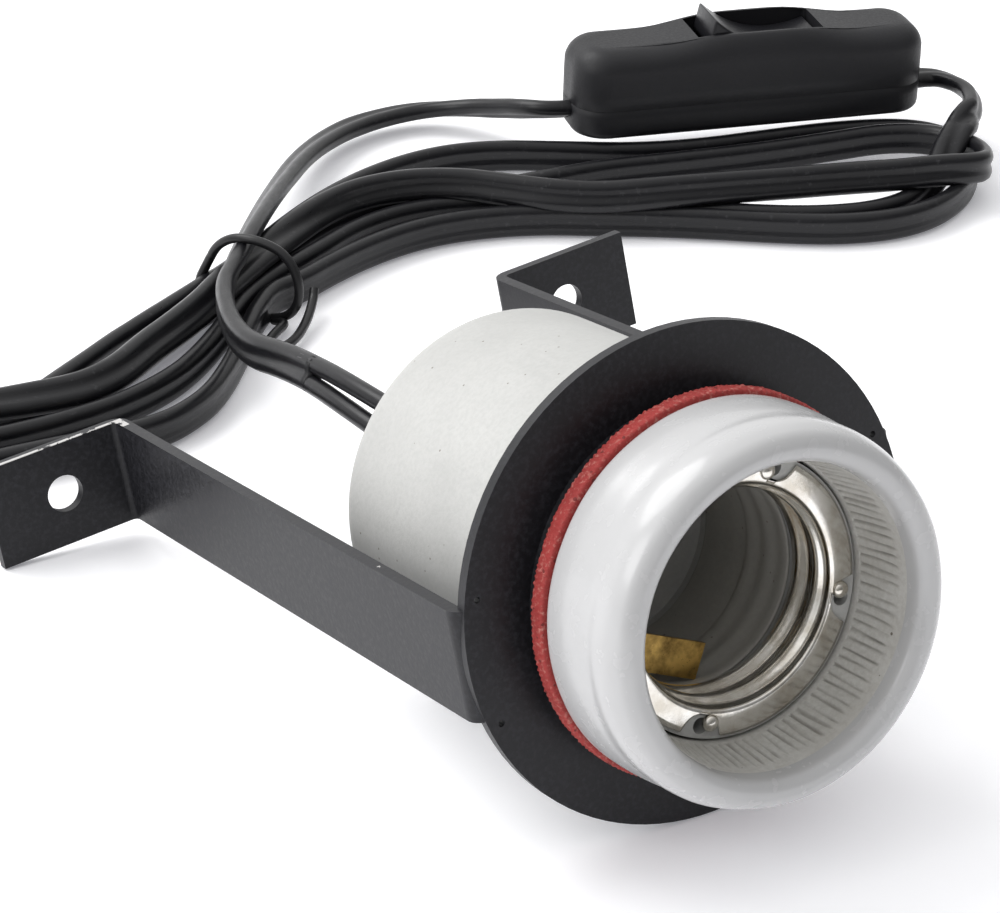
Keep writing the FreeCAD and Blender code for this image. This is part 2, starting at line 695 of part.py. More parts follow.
def make_switch():
    wall = S["case_wall"]
    length, width, height = S["switch_length"], S["switch_width"], S["switch_height"]
    seam = S["base_height"]
    half_l, half_w = N["switch_length"] / 2, N["switch_width"] / 2
    thick = N["case_wall"]
    screws_x = N["case_screw_offset"]
    screw_r = S["case_screw_radius"]
    aside = N["rocker_offset"]
    base = case_half("case_base", Size.of(0), seam, True)
    hollow = box("base_hollow", length - wall * 4, width - wall * 2, seam,
                 (2 * thick - half_l, thick - half_w, thick))
    base_tools = [hollow]
    inlet = cylinder("cord_inlet", S["inlet_radius"], length + 2.0,
                     (-half_l - 1, 0, N["inlet_height"]), Vector(1, 0, 0))
    base_tools.append(inlet)
    bosses = []
    cover_bosses = []
    cover_holes = []
    case_screws = []
    roof = N["switch_height"] - N["case_wall"]
    for side in (-1, 1):
        spot = (side * screws_x, 0, 0)
        base_tools.append(cylinder("base_screw_hole", screw_r + 0.1, 3.0, spot))
        base_tools.append(cylinder("base_screw_sink", screw_r * 2.1, 0.9, spot))
        boss = cylinder("cover_boss", screw_r * 2.2, height - wall - seam + 0.4,
                        (side * screws_x, 0, N["base_height"]))
        cover_bosses.append(boss)
        cover_holes.append(cylinder("cover_boss_hole", screw_r + 0.02, 5.5,
                                    (side * screws_x, 0, N["base_height"] - 0.1)))
        shank = cylinder("case_screw_shank", screw_r, 10.0, (side * screws_x, 0, 0.2))
        head = cylinder("case_screw_head", screw_r * 2, 0.6, (side * screws_x, 0, 0.2))
        case_screws.append(fuse("case_screw", [shank, head]))
    keep(cut("switch_case_base", base, base_tools), "switch_base", switch_place)
    keep(group("case_screw_set", case_screws), "switch_screws", switch_place)

    cover = case_half("case_cover", seam, height, False)
    inside = box("cover_hollow", length - wall * 4, width - wall * 2, height - seam - wall,
                 (2 * thick - half_l, thick - half_w, N["base_height"]))
    window = box("rocker_window", S["window_length"], S["window_width"], wall * 4,
                 (aside - N["window_length"] / 2, -N["window_width"] / 2, N["switch_height"] - 3))
    shell = cut("cover_shell", cover, [inside, window])
    ears = []
    for side in (-1, 1):
        ears.append(box("pivot_ear", 5.0, 1.2, roof - 8.6 + 0.3,
                        (aside - 2.5, side * (N["window_width"] / 2 + 0.6) - 0.6, 8.6)))
    pin_r = S["rocker_pin_radius"]
    pin_l = S["window_width"] + 2.2
    cross = Vector(0, 1, 0)
    pin_hole = cylinder("pin_hole", pin_r + 0.02, pin_l + 0.2,
                        (aside, -(pin_l.value + 0.2) / 2, PIVOT_HEIGHT), cross)
    blank = fuse("cover_blank", [shell] + ears + cover_bosses)
    keep(cut("switch_case_cover", blank, cover_holes + [pin_hole]), "switch_cover", switch_place)
    keep(cylinder("pin", pin_r, pin_l, (0, -pin_l.value / 2, PIVOT_HEIGHT), cross), "rocker_pin",
         rocker_place * Placement(Vector(0, -pin_l.value / 2, PIVOT_HEIGHT),
                                  Rotation(Vector(0, 0, 1), cross)))

    tilt = Placement(Vector(0, 0, PIVOT_HEIGHT), Rotation(Vector(0, 1, 0), S["rocker_tilt"].value))
    half = S["rocker_length"] / 2
    rise = S["rocker_rise"]
    curve = [(half * share, rise * (0.5 + 0.5 * share * share))
             for share in (1.0, 0.75, 0.5, 0.25, 0.0, -0.25, -0.5, -0.75, -1.0)]
    under = [(-half, 1.2), (-6.0, -2.0), (-2.4, -2.0), (-2.4, -4.4), (2.4, -4.4), (2.4, -2.0),
             (6.0, -2.0), (half, 1.2)]
    rocker = strip("rocker_block", curve + under, S["window_width"] - 0.8)
    bore = cylinder("rocker_bore", pin_r + 0.05, width, (0, -half_w, 0), cross)
    pocket = cylinder("spring_pocket", 1.6, 2.9, (0, 0, -4.5))
    keep(cut("rocker_cap", rocker, [bore, pocket]), "switch_rocker", rocker_place * tilt)
    spring = turned("spring_sleeve", [(0.9, -4.0), (1.45, -4.0), (1.45, -1.6), (0.9, -1.6)])
    keep(spring, "rocker_spring", rocker_place * tilt)
    plunger = turned("plunger_body", [(0, -4.0), (1.45, -4.0), (1.45, -4.8), (1.0, -5.4),
                                      (0.5, -5.8), (0, -5.8)])
    keep(plunger, "rocker_plunger", rocker_place * tilt)

    lean = Placement(Vector(0, 0, SEESAW_HEIGHT),
                     Rotation(Vector(0, 1, 0), -S["seesaw_tilt"].value))
    blade_l, blade_w, blade_t = S["seesaw_length"], S["seesaw_width"], S["seesaw_thickness"]
    blade = box("seesaw_blade", blade_l, blade_w, blade_t,
                (-N["seesaw_length"] / 2, -N["seesaw_width"] / 2, -N["seesaw_thickness"] / 2))
    knuckle = cylinder("seesaw_knuckle", S["fulcrum_radius"] + 0.65, blade_w,
                       (0, -N["seesaw_width"] / 2, 0), cross)
    eye = cylinder("seesaw_eye", S["fulcrum_radius"] + 0.05, blade_w + 2.0,
                   (0, -N["seesaw_width"] / 2 - 1, 0), cross)
    keep(cut("seesaw", fuse("seesaw_blank", [blade, knuckle]), [eye]), "seesaw_contact",
         rocker_place * lean)
    floor = N["case_wall"]
    cheek = N["seesaw_width"] / 2 + 0.3
    axle = cylinder("fulcrum_axle", S["fulcrum_radius"], blade_w + 2.2,
                    (0, -N["seesaw_width"] / 2 - 1.1, SEESAW_HEIGHT), cross)
    fulcrum = [axle]
    for low in (-cheek - 0.8, cheek):
        fulcrum.append(box("fulcrum_cheek", 2.4, 0.8, SEESAW_HEIGHT - floor + N["fulcrum_radius"],
                           (-1.2, low, floor)))
    rest = [fuse("fulcrum", fulcrum)]
    for side in (-1, 1):
        rest.append(box("fixed_contact", 3.0, 5.0, 0.6, (side * 6.6 - 1.5, -2.5, floor)))
    keep(group("contact_set", rest), "fixed_contacts", rocker_place)


# Cord routes in the lying frame: x to the right, y behind the fixture, z up from the ground.
LEAD_ROUTE = [
    (-3.2, 34.0, 19.0), (-3.8, 47.0, 17.8), (-3.4, 59.0, 15.0), (-3.0, 70.0, 12.0),
    (-0.6, 80.6, 10.0), (3.6, 91.2, 9.1), (9.4, 100.4, 8.9), (16.5, 109.2, 8.9),
    (23.7, 118.4, 9.0), (34.6, 134.0, 5.0), (44.0, 146.4, 3.5), (55.0, 154.8, 3.1),
    (67.0, 156.4, 3.9), (75.0, 147.0, 6.6), (80.2, 133.2, 9.0),
]
FEED_ROUTE = [
    (151.6, 113.9, 9.3), (151.8, 104.4, 9.1), (145.2, 98.6, 8.9), (137.0, 93.8, 8.8),
    (128.0, 90.4, 8.0), (119.0, 88.6, 6.4), (112.0, 88.4, 4.8),
]
PLUG_ROUTE = [(-66.0, 90.0, 3.2), (-68.6, 96.0, 4.8), (-70.0, 103.0, 7.0), (-70.0, 110.0, 7.0)]
HANK_OUTLINE = [
    (16.0, 101.0), (27.0, 108.2), (40.0, 113.0), (52.0, 114.2), (64.0, 111.2), (78.0, 103.4),
    (92.0, 93.8), (106.0, 82.6), (119.0, 77.0), (131.0, 79.0), (140.4, 85.6), (145.6, 94.6),
    (143.6, 104.6), (136.0, 111.2), (122.0, 113.4), (108.0, 116.0), (97.0, 121.0),
    (86.0, 128.4), (72.0, 135.0), (57.0, 135.0), (43.0, 129.2), (30.0, 121.4), (18.0, 114.6),
    (6.0, 107.4), (-7.0, 100.0), (-20.0, 93.2), (-34.0, 89.2), (-50.0, 90.6), (-64.0, 92.4),
    (-74.6, 88.4), (-78.6, 80.6), (-72.0, 73.6), (-58.0, 73.0), (-42.0, 76.8),
    (-27.0, 78.0), (-13.0, 77.0), (-1.5, 83.6), (7.0, 93.0),
]
TIE_SPOT = (14.6, 106.4)
TIE_TURN = 37.0
TIE_TAIL = [
    (18.9, 100.6, 5.4), (15.4, 95.2, 3.0), (10.2, 90.8, 1.6), (9.4, 87.0, 1.2),
    (13.6, 87.4, 1.4), (18.0, 92.4, 2.4), (22.2, 98.4, 3.8), (23.8, 101.4, 5.4),
]
PLUG_SPOT = (-70.0, 110.0)


def make_cord(shift):
    """Lead, hank and tail of the cord, which start where the fixture's rear cover lets them out."""
    radius = N["cord_width"] / 2
    settled = Placement(shift, Rotation()) * lying
    rear = N["cover_set"] - N["body_depth"]
    exit_spot = settled.multVec(Vector(0, 0, rear))
    straight = settled.multVec(Vector(0, 0, rear - 14.0))
    inlet = N["inlet_height"]
    half = N["switch_length"] / 2 - 1.0
    left = switch_place.multVec(Vector(-half, 0, inlet))
    right = switch_place.multVec(Vector(half, 0, inlet))
    lead = [tuple(exit_spot), tuple(straight)] + LEAD_ROUTE + [tuple(left)]
    solid_part("lead_cord", tube("lead_cord", lead, radius))
    solid_part("feed_cord", tube("feed_cord", [tuple(right)] + FEED_ROUTE, radius))
    solid_part("plug_cord", tube("plug_cord", PLUG_ROUTE, radius))

    rim, radii = rounded_path([(x, y, 0) for x, y in HANK_OUTLINE], True)
    bundle = Part.Face(rim).extrude(Vector(0, 0, N["hank_height"]))
    wire = N["tie_radius"]
    slot = Part.makeBox(wire * 2 + 0.8, 40, wire * 2 + 0.4, Vector(-wire - 0.4, -20, -0.1))
    across = Placement(Vector(TIE_SPOT[0], TIE_SPOT[1], 0), Rotation(Vector(0, 0, 1), TIE_TURN))
    slot.Placement = across
    solid_part("cord_hank", bundle.cut(slot))

    wide = 7.2
    high = N["hank_height"] + N["cord_width"] + 1.6
    low = wire + 0.1
    loop = [(-wide, low + 1.5), (-wide + 1.5, low), (wide - 1.5, low), (wide, low + 1.5),
            (wide - 0.6, high - 5), (4.6, high), (-4.6, high), (-wide + 0.6, high - 5)]
    loop = [tuple(across.multVec(Vector(0, y, z))) for y, z in loop]
    ring = tube("twist_tie", loop, wire, True)
    tail = tube("twist_tie_tail", TIE_TAIL, wire)
    solid_part("twist_tie", ring.fuse(tail))


def make_plug():
    place = Placement(Vector(PLUG_SPOT[0], PLUG_SPOT[1], N["plug_thickness"] / 2),
                      Rotation(Vector(0, 0, 1), 90))
    relief_l = 12.0
    relief = doc.addObject("Part::Cone", "relief_cone")
    bind(relief, Radius1=S["cord_width"] / 2 + 0.5, Radius2=S["cord_width"] / 2 + 2.2,
         Height=relief_l)
    keep(relief, "plug_strain_relief", place * Placement(Vector(), Rotation(Vector(0, 1, 0), 90)))
    length, width, thick = S["plug_length"], S["plug_width"], S["plug_thickness"]
    block = doc.addObject("PartDesign::Body", "plug_block")
    sketch = outline(block, [(relief_l, -width * 0.34), (relief_l + length * 0.55, -width / 2),
                             (relief_l + length, -width / 2), (relief_l + length, width / 2),
                             (relief_l + length * 0.55, width / 2), (relief_l, width * 0.34)],
                     "XY_Plane")
    pad = block.newObject("PartDesign::Pad", "plug_pad")
    pad.Profile = sketch
    pad.Midplane = True
    pad.setExpression("Length", thick.text)
    doc.recompute()
    round_edges(block, "plug_corners", 2.5, upright)
    half = N["plug_thickness"] / 2
    tests = [level_at(half), level_at(-half)]
    round_edges(block, "plug_round", 2.0, lambda edge: any(test(edge) for test in tests))
    face = relief_l + N["plug_length"]
    blades = []
    slots = []
    for side, tall in ((-1, 6.35), (1, 7.9)):
        y = side * N["blade_spacing"] / 2
        corner = (face - 6, y - 0.75, -tall / 2)
        blades.append(box("blade", S["blade_length"] + 6.0, 1.5, tall, corner))
        slots.append(box("blade_slot", 7.0, 1.5, tall, corner))
    keep(cut("plug_moulding", block, slots), "plug_body", place)
    keep(group("blade_pair", blades), "plug_blades", place)


make_bracket()
make_gasket()
make_collar()
make_body()
make_shell()
plate_under = make_contacts()
make_terminals(plate_under)
make_cores(plate_under)
make_cover()
doc.recompute()

# The ground point below the middle of the lying fixture is the origin.
bounds = FreeCAD.BoundBox()
for piece in pieces:
    bounds.add(piece.Shape.optimalBoundingBox(False))
shift = Vector(-(bounds.XMin + bounds.XMax) / 2, -(bounds.YMin + bounds.YMax) / 2, -bounds.ZMin)
for piece in pieces:
    piece.Placement = Placement(shift, Rotation()) * piece.Placement

make_switch()
make_cord(shift)
make_plug()
doc.recompute()

for item in doc.Objects:
    if "Invalid" in item.State or "Error" in item.State:
        raise RuntimeError("%s failed: %s" % (item.Name, item.State))
os.makedirs("parts", exist_ok=True)
for piece in pieces:
    if piece.Shape.isNull() or not piece.Shape.isValid():
        raise RuntimeError("%s has no valid shape" % piece.Label)
    piece.Shape.exportStep("parts/%s.step" % piece.Label)
    print("%s: %d solids, %.0f cubic mm" % (piece.Label, len(piece.Shape.Solids), piece.Shape.Volume))
print("shift", tuple(shift), "pitch", math.degrees(PITCH), "roll", math.degrees(ROLL))
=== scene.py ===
"""Looks of a porcelain lamp fixture with its bracket, flat cord and rocker switch.

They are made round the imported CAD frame. The file is laid out as an add-on: each piece or group of
like pieces has its own operator, and main() calls them in order.
Lengths are metres in the frame of the CAD model, and the route tables are millimetres.
"""
import math

import bmesh
import bpy
import numpy as np
from bpy.props import FloatProperty, FloatVectorProperty, IntProperty, PointerProperty
from mathutils import Matrix, Vector, noise


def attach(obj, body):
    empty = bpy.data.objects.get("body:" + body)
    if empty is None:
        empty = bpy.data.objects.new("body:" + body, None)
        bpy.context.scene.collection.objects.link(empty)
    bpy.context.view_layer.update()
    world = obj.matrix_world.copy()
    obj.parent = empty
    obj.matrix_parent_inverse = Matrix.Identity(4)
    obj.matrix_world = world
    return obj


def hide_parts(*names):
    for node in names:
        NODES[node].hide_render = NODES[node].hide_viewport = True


bl_info = {
    "name": "Lamp Fixture Looks",
    "version": (1, 0, 0),
    "blender": (4, 5, 0),
    "location": "3D View > Sidebar > Lamp Fixture",
    "description": "Builds the looks of a porcelain lamp fixture round its CAD frame",
    "category": "Object",
}

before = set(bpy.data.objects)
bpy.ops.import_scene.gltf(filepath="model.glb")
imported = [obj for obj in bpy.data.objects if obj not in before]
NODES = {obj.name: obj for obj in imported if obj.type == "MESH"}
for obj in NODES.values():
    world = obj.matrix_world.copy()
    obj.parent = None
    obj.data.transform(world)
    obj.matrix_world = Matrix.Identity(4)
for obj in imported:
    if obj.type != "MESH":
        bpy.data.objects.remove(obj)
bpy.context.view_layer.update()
MM = 0.001

# How the fixture lies: its socket frame has x along the feet and z out of the lamp's mouth.
PITCH = math.radians(10.83593527)
ROLL = math.radians(6.91988005)
SOCKET_ORIGIN = Vector((0.0, -34.49482603, 29.94351607)) * MM
SOCKET = (Matrix.Translation(SOCKET_ORIGIN) @ Matrix.Rotation(math.pi / 2 - PITCH, 4, "X")
          @ Matrix.Rotation(ROLL, 4, "Z"))
# The switch lies on the hank: x along it, z up, the rocker's pivot aside of its middle.
SWITCH = (Matrix.Translation(Vector((116.5, 123.3, 6.0)) * MM)
          @ Matrix.Rotation(math.radians(-15.0), 4, "Z"))
PIVOT = SWITCH @ Matrix.Translation(Vector((1.2, 0.0, 11.0)) * MM)

# Route of the lead: x, y, z and the lean of the flat cord, in degrees from lying flat.
LEAD_ROUTE = [
    (0, 7.15, 21.97, 60), (0, 14, 20.9, 60), (-0.6, 21, 20, 60), (-2.6, 30, 19.9, 60),
    (-3.6, 40, 19.8, 62), (-3.2, 50, 18.3, 68), (-2.6, 60.7, 15.8, 80), (-3, 69.6, 13.4, 90),
    (-1.4, 78, 12, 94), (1.5, 86.6, 11.2, 92), (5.1, 94.1, 10.6, 88), (9.5, 100.2, 10.2, 66),
    (14.2, 106.2, 10, 58), (19.4, 112.8, 9.5, 52), (26.5, 122.2, 7.9, 46), (34.5, 132.3, 6, 38),
    (44.2, 143.5, 4.3, 28), (53.4, 151, 3.2, 16), (61.5, 154.6, 2.9, 8), (71.3, 155, 3, 12),
    (78, 149.8, 4.2, 22), (81, 142, 6.4, 32), (82.2, 135.4, 8.6, 32), (84.6, 132, 9.2, 30),
    (88.2, 130.85, 9.2, 28),
]
# Route from the switch through the folded hank to the plug, in five passes.
MAIN_ROUTE = [
    (144.9, 115.7, 9.2, 0), (147.6, 115, 9.3, 10), (150.4, 112.6, 9.3, 30), (151, 106.4, 9.2, 60),
    (148, 101, 9, 80), (143.6, 97.4, 9, 4), (138.6, 94.4, 7.4, 34), (132.6, 90, 4.2, 72),
    (125.4, 85.6, 2.8, 90), (117, 83.8, 2.8, 90), (108.5, 85.8, 2.8, 90), (99.8, 90.4, 2.8, 90),
    (91.5, 96.6, 2.8, 90), (82, 104.5, 2.8, 90), (72.5, 110.3, 2.8, 90), (61.6, 115.9, 2.8, 90),
    (51.3, 118.6, 2.8, 90), (40.4, 117.1, 2.8, 90), (30, 111.8, 2.8, 90), (15.6, 105.1, 2.8, 90),
    (6.2, 96.1, 2.8, 90), (-1.4, 89.1, 2.8, 90), (-8.7, 84, 2.8, 90), (-18.3, 80.4, 2.8, 90),
    (-25.9, 79.4, 2.8, 90), (-33.1, 79, 2.8, 90), (-46, 80, 2.65, 60), (-58, 80.5, 1.75, 10),
    (-68, 79.5, 1.75, 10), (-75.5, 81.5, 2.5, 50), (-77.5, 86.5, 2.8, 80), (-73, 91, 2.8, 90),
    (-62, 92.3, 2.8, 90), (-50, 90.8, 2.6, 70), (-38, 89.6, 2.4, 52), (-27.4, 90.2, 2.4, 52),
    (-22.5, 93.2, 2.4, 52), (-16.2, 96.9, 2.4, 52), (-8.9, 101.4, 2.4, 52), (-1, 105, 2.5, 66),
    (8, 108.6, 2.8, 90), (14.8, 112, 2.8, 90), (22, 117, 2.8, 90), (30, 122.5, 2.8, 90),
    (40, 128.5, 2.8, 90), (52, 133.6, 2.8, 90), (64, 135.5, 2.8, 90), (74, 133.2, 2.8, 90),
    (84, 127.5, 2.8, 90), (94, 121.5, 2.8, 90), (105, 117.8, 2.8, 90), (118, 115.6, 2.8, 90),
    (130, 113.2, 2.8, 90), (140, 109.2, 2.8, 90), (144.2, 103.6, 2.8, 90), (144, 96.8, 2.8, 90),
    (140, 90.2, 2.8, 90), (133.6, 84.4, 2.8, 90), (125.6, 80.6, 2.8, 90), (117, 79.8, 2.8, 90),
    (108, 82.4, 2.8, 90), (100, 87.2, 2.8, 90), (92, 93, 2.8, 90), (84, 98.4, 2.8, 90),
    (76, 103, 2.8, 90), (68, 107.8, 2.8, 90), (59, 111, 2.8, 90), (49.5, 112.2, 2.8, 90),
    (39.6, 110.6, 2.8, 90), (30, 107.2, 2.8, 90), (22.6, 103.6, 2.8, 90), (17.4, 102.7, 2.8, 90),
    (12, 97.5, 2.8, 90), (9.4, 94.3, 2.8, 90), (4.8, 88.6, 2.8, 90), (0, 82.9, 2.8, 90),
    (-5.3, 77.6, 2.8, 90), (-10.3, 74.5, 2.8, 90), (-14.6, 72.7, 2.8, 90), (-19.2, 72.1, 2.8, 90),
    (-25.2, 72.3, 2.8, 90), (-36, 73.2, 2.8, 90), (-50, 73.5, 2.8, 90), (-58, 74, 4, 70),
    (-65, 77.5, 5.5, 60), (-66.5, 83, 5.5, 60), (-60, 86.5, 4.5, 70), (-50, 86.5, 3, 90),
    (-38, 85.6, 2.8, 90), (-27.6, 86, 2.8, 90), (-20.5, 88, 2.8, 90), (-11.8, 92.8, 2.8, 90),
    (-3.5, 98, 2.8, 90), (5.3, 102.8, 2.8, 90), (13.6, 107.7, 2.8, 90), (22, 111.5, 2.8, 90),
    (29, 116, 2.8, 90), (38, 120.4, 2.8, 90), (47, 122.3, 2.8, 90), (55.4, 121.4, 2.8, 90),
    (63, 119.9, 2.8, 90), (73.4, 118.9, 2.8, 90), (85.7, 118.3, 2.8, 90), (99, 114.9, 2.8, 90),
    (112.8, 111.7, 2.9, 90), (124.8, 108.9, 3.4, 90), (134, 106.2, 4.2, 90), (140.8, 101, 4.6, 90),
    (142.6, 92.4, 5.2, 90), (138.9, 85.2, 6.4, 90), (134.5, 83.6, 7.4, 90), (128.8, 85.2, 7.6, 76),
    (122.3, 86.6, 7.6, 72), (112.8, 89.8, 7.6, 70), (103.2, 92.7, 7.6, 68), (93.8, 95.8, 7.6, 68),
    (84.3, 98.7, 7.6, 68), (76, 102.6, 6.9, 68), (69.5, 106.8, 7, 68), (64.5, 111.8, 7, 68),
    (59, 117.4, 7, 68), (51, 121.2, 7, 68), (42, 121.6, 7, 68), (34, 118.6, 7, 66),
    (26, 113.8, 7, 50), (15, 106.6, 6.9, 20), (8.9, 102.2, 6.8, 30), (4, 98.4, 6.4, 40),
    (-2.8, 94.3, 6, 44), (-9.1, 90.6, 5.9, 44), (-15.7, 85.8, 5.9, 44), (-21.1, 84.2, 5.6, 40),
    (-25.3, 84.2, 5.5, 36), (-30.1, 84.7, 5.5, 34), (-34.3, 85.4, 5.4, 30), (-44, 86.5, 5.8, 20),
    (-54, 88.5, 6.6, 10), (-62, 92, 5.5, 10), (-67.5, 97.5, 5.5, 10), (-69.8, 103.5, 6.6, 6),
    (-70, 110, 7, 0),
]
# Section of the flat cord: radius of each core, its distance from the middle, the waist's depth.
CORE_RADIUS = 1.33 * MM
CORE_SPACING = 1.28 * MM
WAIST = 0.30 * MM
# Notches of the shell's flange and the stakes that stand in them, in millimetres and degrees.
NOTCH_DEGREES = (-22.0, -117.0, 58.0)
NOTCH_RADIUS = 2.7
STAKE_OFFSET = 14.9
STAKE_TURN = 4.0
STAKE_HEIGHT = 8.75
STAKE_RADIUS = 1.05
# Where the coat is painted pale, in the socket frame: one edge of the left arm, most by its foot's
# bend; the pale chips are partly wear and partly a painted highlight.
WEAR_AND_HIGHLIGHT_EDGE = 6.93 * MM
WEAR_AND_HIGHLIGHT_SIDE = -29.5 * MM
WEAR_AND_HIGHLIGHT_FRONT = -87.5 * MM
WEAR_AND_HIGHLIGHT_REAR = -90.6 * MM
# Where the lead's cores lie apart at the fixture, and how far they run into the jacket.
FORK_SPREAD = 0.9 * MM
FORK_LENGTH = 46.0 * MM
OVERLAP = 3.0 * MM
# Length of cord, in metres, over which the UV map of the jacket goes up by one.
UV_RUN = 0.01
# The floor lies a hair below the frame's zero.
FLOOR_LEVEL = -0.00005


class FixtureSizes(bpy.types.PropertyGroup):
    """Sizes that a user may change."""

    flute_count: IntProperty(name="Flutes", default=96, min=12, max=240,
                             description="Fine axial flutes inside the collar")
    flute_depth: FloatProperty(name="Flute depth", default=0.00034, unit="LENGTH", precision=5,
                               description="Depth of each flute inside the collar")
    thread_pitch: FloatProperty(name="Thread pitch", default=0.0036, unit="LENGTH", precision=5,
                                description="Pitch of the rolled lamp thread")
    thread_rise: FloatProperty(name="Thread rise", default=0.0009, unit="LENGTH", precision=5,
                               description="How far the rolled thread stands inwards")
    floor_size: FloatProperty(name="Floor size", default=6.0, unit="LENGTH",
                              description="Side of the floor")


class FixtureColours(bpy.types.PropertyGroup):
    """Main colours."""

    coat: FloatVectorProperty(name="Powder coat", subtype="COLOR", size=3,
                              default=(0.010, 0.010, 0.012), description="Coat of the bracket")
    glaze: FloatVectorProperty(name="Glaze", subtype="COLOR", size=3,
                               default=(0.48, 0.48, 0.484), description="Glaze of the collar")
    bisque: FloatVectorProperty(name="Bisque", subtype="COLOR", size=3,
                                default=(0.47, 0.47, 0.457), description="Unglazed porcelain")
    washer: FloatVectorProperty(name="Washer", subtype="COLOR", size=3,
                                default=(0.30, 0.030, 0.027), description="Heat-proof washer")
    jacket: FloatVectorProperty(name="Jacket", subtype="COLOR", size=3,
                                default=(0.006, 0.006, 0.0075), description="Jacket of the cord")


# Materials
class Finish:
    """A node material built step by step: each call adds one node and returns its output."""

    def __init__(self, name, **shader):
        self.material = bpy.data.materials.new(name)
        self.material.use_nodes = True
        self.nodes = self.material.node_tree.nodes
        self.links = self.material.node_tree.links
        self.shader = self.nodes["Principled BSDF"]
        for label, value in shader.items():
            self.shader.inputs[label.replace("_", " ")].default_value = value
        self.place = self.nodes.new("ShaderNodeTexCoord").outputs["Object"]

    def node(self, kind, settings=(), **inputs):
        made = self.nodes.new(kind)
        for key, value in dict(settings).items():
            setattr(made, key, value)
        for key, value in inputs.items():
            socket = made.inputs[key.replace("_", " ")]
            if isinstance(value, bpy.types.NodeSocket):
                self.links.new(value, socket)
            else:
                socket.default_value = value
        return made

    def noise(self, scale, detail=3.0, roughness=0.5, vector=None):
        return self.node("ShaderNodeTexNoise", Scale=scale, Detail=detail, Roughness=roughness,
                         Vector=vector or self.place).outputs["Fac"]

    def stretched(self, x, y, z, vector=None):
        return self.node("ShaderNodeMapping", Vector=vector or self.place,
                         Scale=(x, y, z)).outputs["Vector"]

    def dots(self, scale, radius, share):
        """Sharp specks: 1 inside a few of the cells' middles, 0 elsewhere."""
        cells = self.node("ShaderNodeTexVoronoi", Vector=self.place, Scale=scale)
        pick = self.node("ShaderNodeSeparateColor", Color=cells.outputs["Color"]).outputs["Red"]
        return self.math("MULTIPLY", self.math("LESS_THAN", cells.outputs["Distance"], radius),
                         self.math("LESS_THAN", pick, share))

    def math(self, operation, first, second=0.0):
        made = self.nodes.new("ShaderNodeMath")
        made.operation = operation
        for socket, value in zip(made.inputs, (first, second)):
            if isinstance(value, bpy.types.NodeSocket):
                self.links.new(value, socket)
            else:
                socket.default_value = value
        return made.outputs[0]

    def ramp(self, factor, *stops):
        made = self.nodes.new("ShaderNodeValToRGB")
        self.links.new(factor, made.inputs["Fac"])
        band = made.color_ramp.elements
        while len(band) < len(stops):
            band.new(0.5)
        for element, (spot, colour) in zip(band, stops):
            element.position = spot
            shade = (colour,) * 3 if isinstance(colour, (int, float)) else tuple(colour)
            element.color = (*shade[:3], 1.0)
        return made.outputs["Color"]

    def mix(self, factor, first, second, blend="MIX"):
        made = self.nodes.new("ShaderNodeMix")
        made.data_type = "RGBA"
        made.blend_type = blend
        for socket, value in ((made.inputs[0], factor), (made.inputs[6], first),
                              (made.inputs[7], second)):
            if isinstance(value, bpy.types.NodeSocket):
                self.links.new(value, socket)
            elif isinstance(value, (int, float)):
                socket.default_value = value
            else:
                socket.default_value = (*tuple(value)[:3], 1.0)
        return made.outputs[2]

    def colour(self, value):
        self.links.new(value, self.shader.inputs["Base Color"])
        return self

    def rough(self, value):
        self.links.new(value, self.shader.inputs["Roughness"])
        return self

    def bump(self, height, strength, distance):
        made = self.node("ShaderNodeBump", Height=height, Strength=strength, Distance=distance)
        if self.shader.inputs["Normal"].is_linked:
            self.links.new(self.shader.inputs["Normal"].links[0].from_socket, made.inputs["Normal"])
        self.links.new(made.outputs["Normal"], self.shader.inputs["Normal"])
        return self


def shade(colour, factor):
    return tuple(channel * factor for channel in colour[:3])


def powder_coat(colours):
    look = Finish("powder_coat", IOR=1.5, Specular_IOR_Level=0.30)
    grain = look.noise(1500, 3, 0.6)
    broad = look.noise(60, 3, 0.5)
    base = look.mix(broad, shade(colours.coat, 0.8), shade(colours.coat, 1.35))
    base = look.mix(look.ramp(grain, (0.45, 0.0), (0.85, 1.0)), base, shade(colours.coat, 3.0))
    base = look.mix(look.dots(120, 0.05, 0.16), base, (0.55, 0.54, 0.52))
    lying = look.node("ShaderNodeMapping", {"vector_type": "TEXTURE"}, Vector=look.place,
                      Location=SOCKET_ORIGIN, Rotation=SOCKET.to_euler())
    split = look.node("ShaderNodeSeparateXYZ", Vector=lying.outputs["Vector"]).outputs
    # Pale chips on the arm's top edge, most by the foot's bend: coat wear together with a painted
    # highlight on the edge that faces the light.
    edge = look.math("GREATER_THAN", split["Y"], WEAR_AND_HIGHLIGHT_EDGE)
    side = look.math("LESS_THAN", split["X"], WEAR_AND_HIGHLIGHT_SIDE)
    bend = look.math("MULTIPLY", look.math("LESS_THAN", split["Z"], WEAR_AND_HIGHLIGHT_FRONT),
                     look.math("GREATER_THAN", split["Z"], WEAR_AND_HIGHLIGHT_REAR))
    on_foot = look.math("MULTIPLY", bend, look.math("GREATER_THAN", look.noise(420, 5, 0.7), 0.46))
    on_arm = look.math("GREATER_THAN", look.noise(170, 6, 0.75), 0.64)
    worn_and_highlight = look.math("MULTIPLY", look.math("MAXIMUM", on_foot, on_arm),
                     look.math("MULTIPLY", edge, side))
    # Painted highlight and wear: the chips are pale grey.
    base = look.mix(worn_and_highlight, base, (0.50, 0.49, 0.48))
    look.colour(base)
    look.rough(look.ramp(grain, (0.3, 0.36), (0.75, 0.52)))
    look.bump(grain, 0.35, 0.00006)
    return look.material


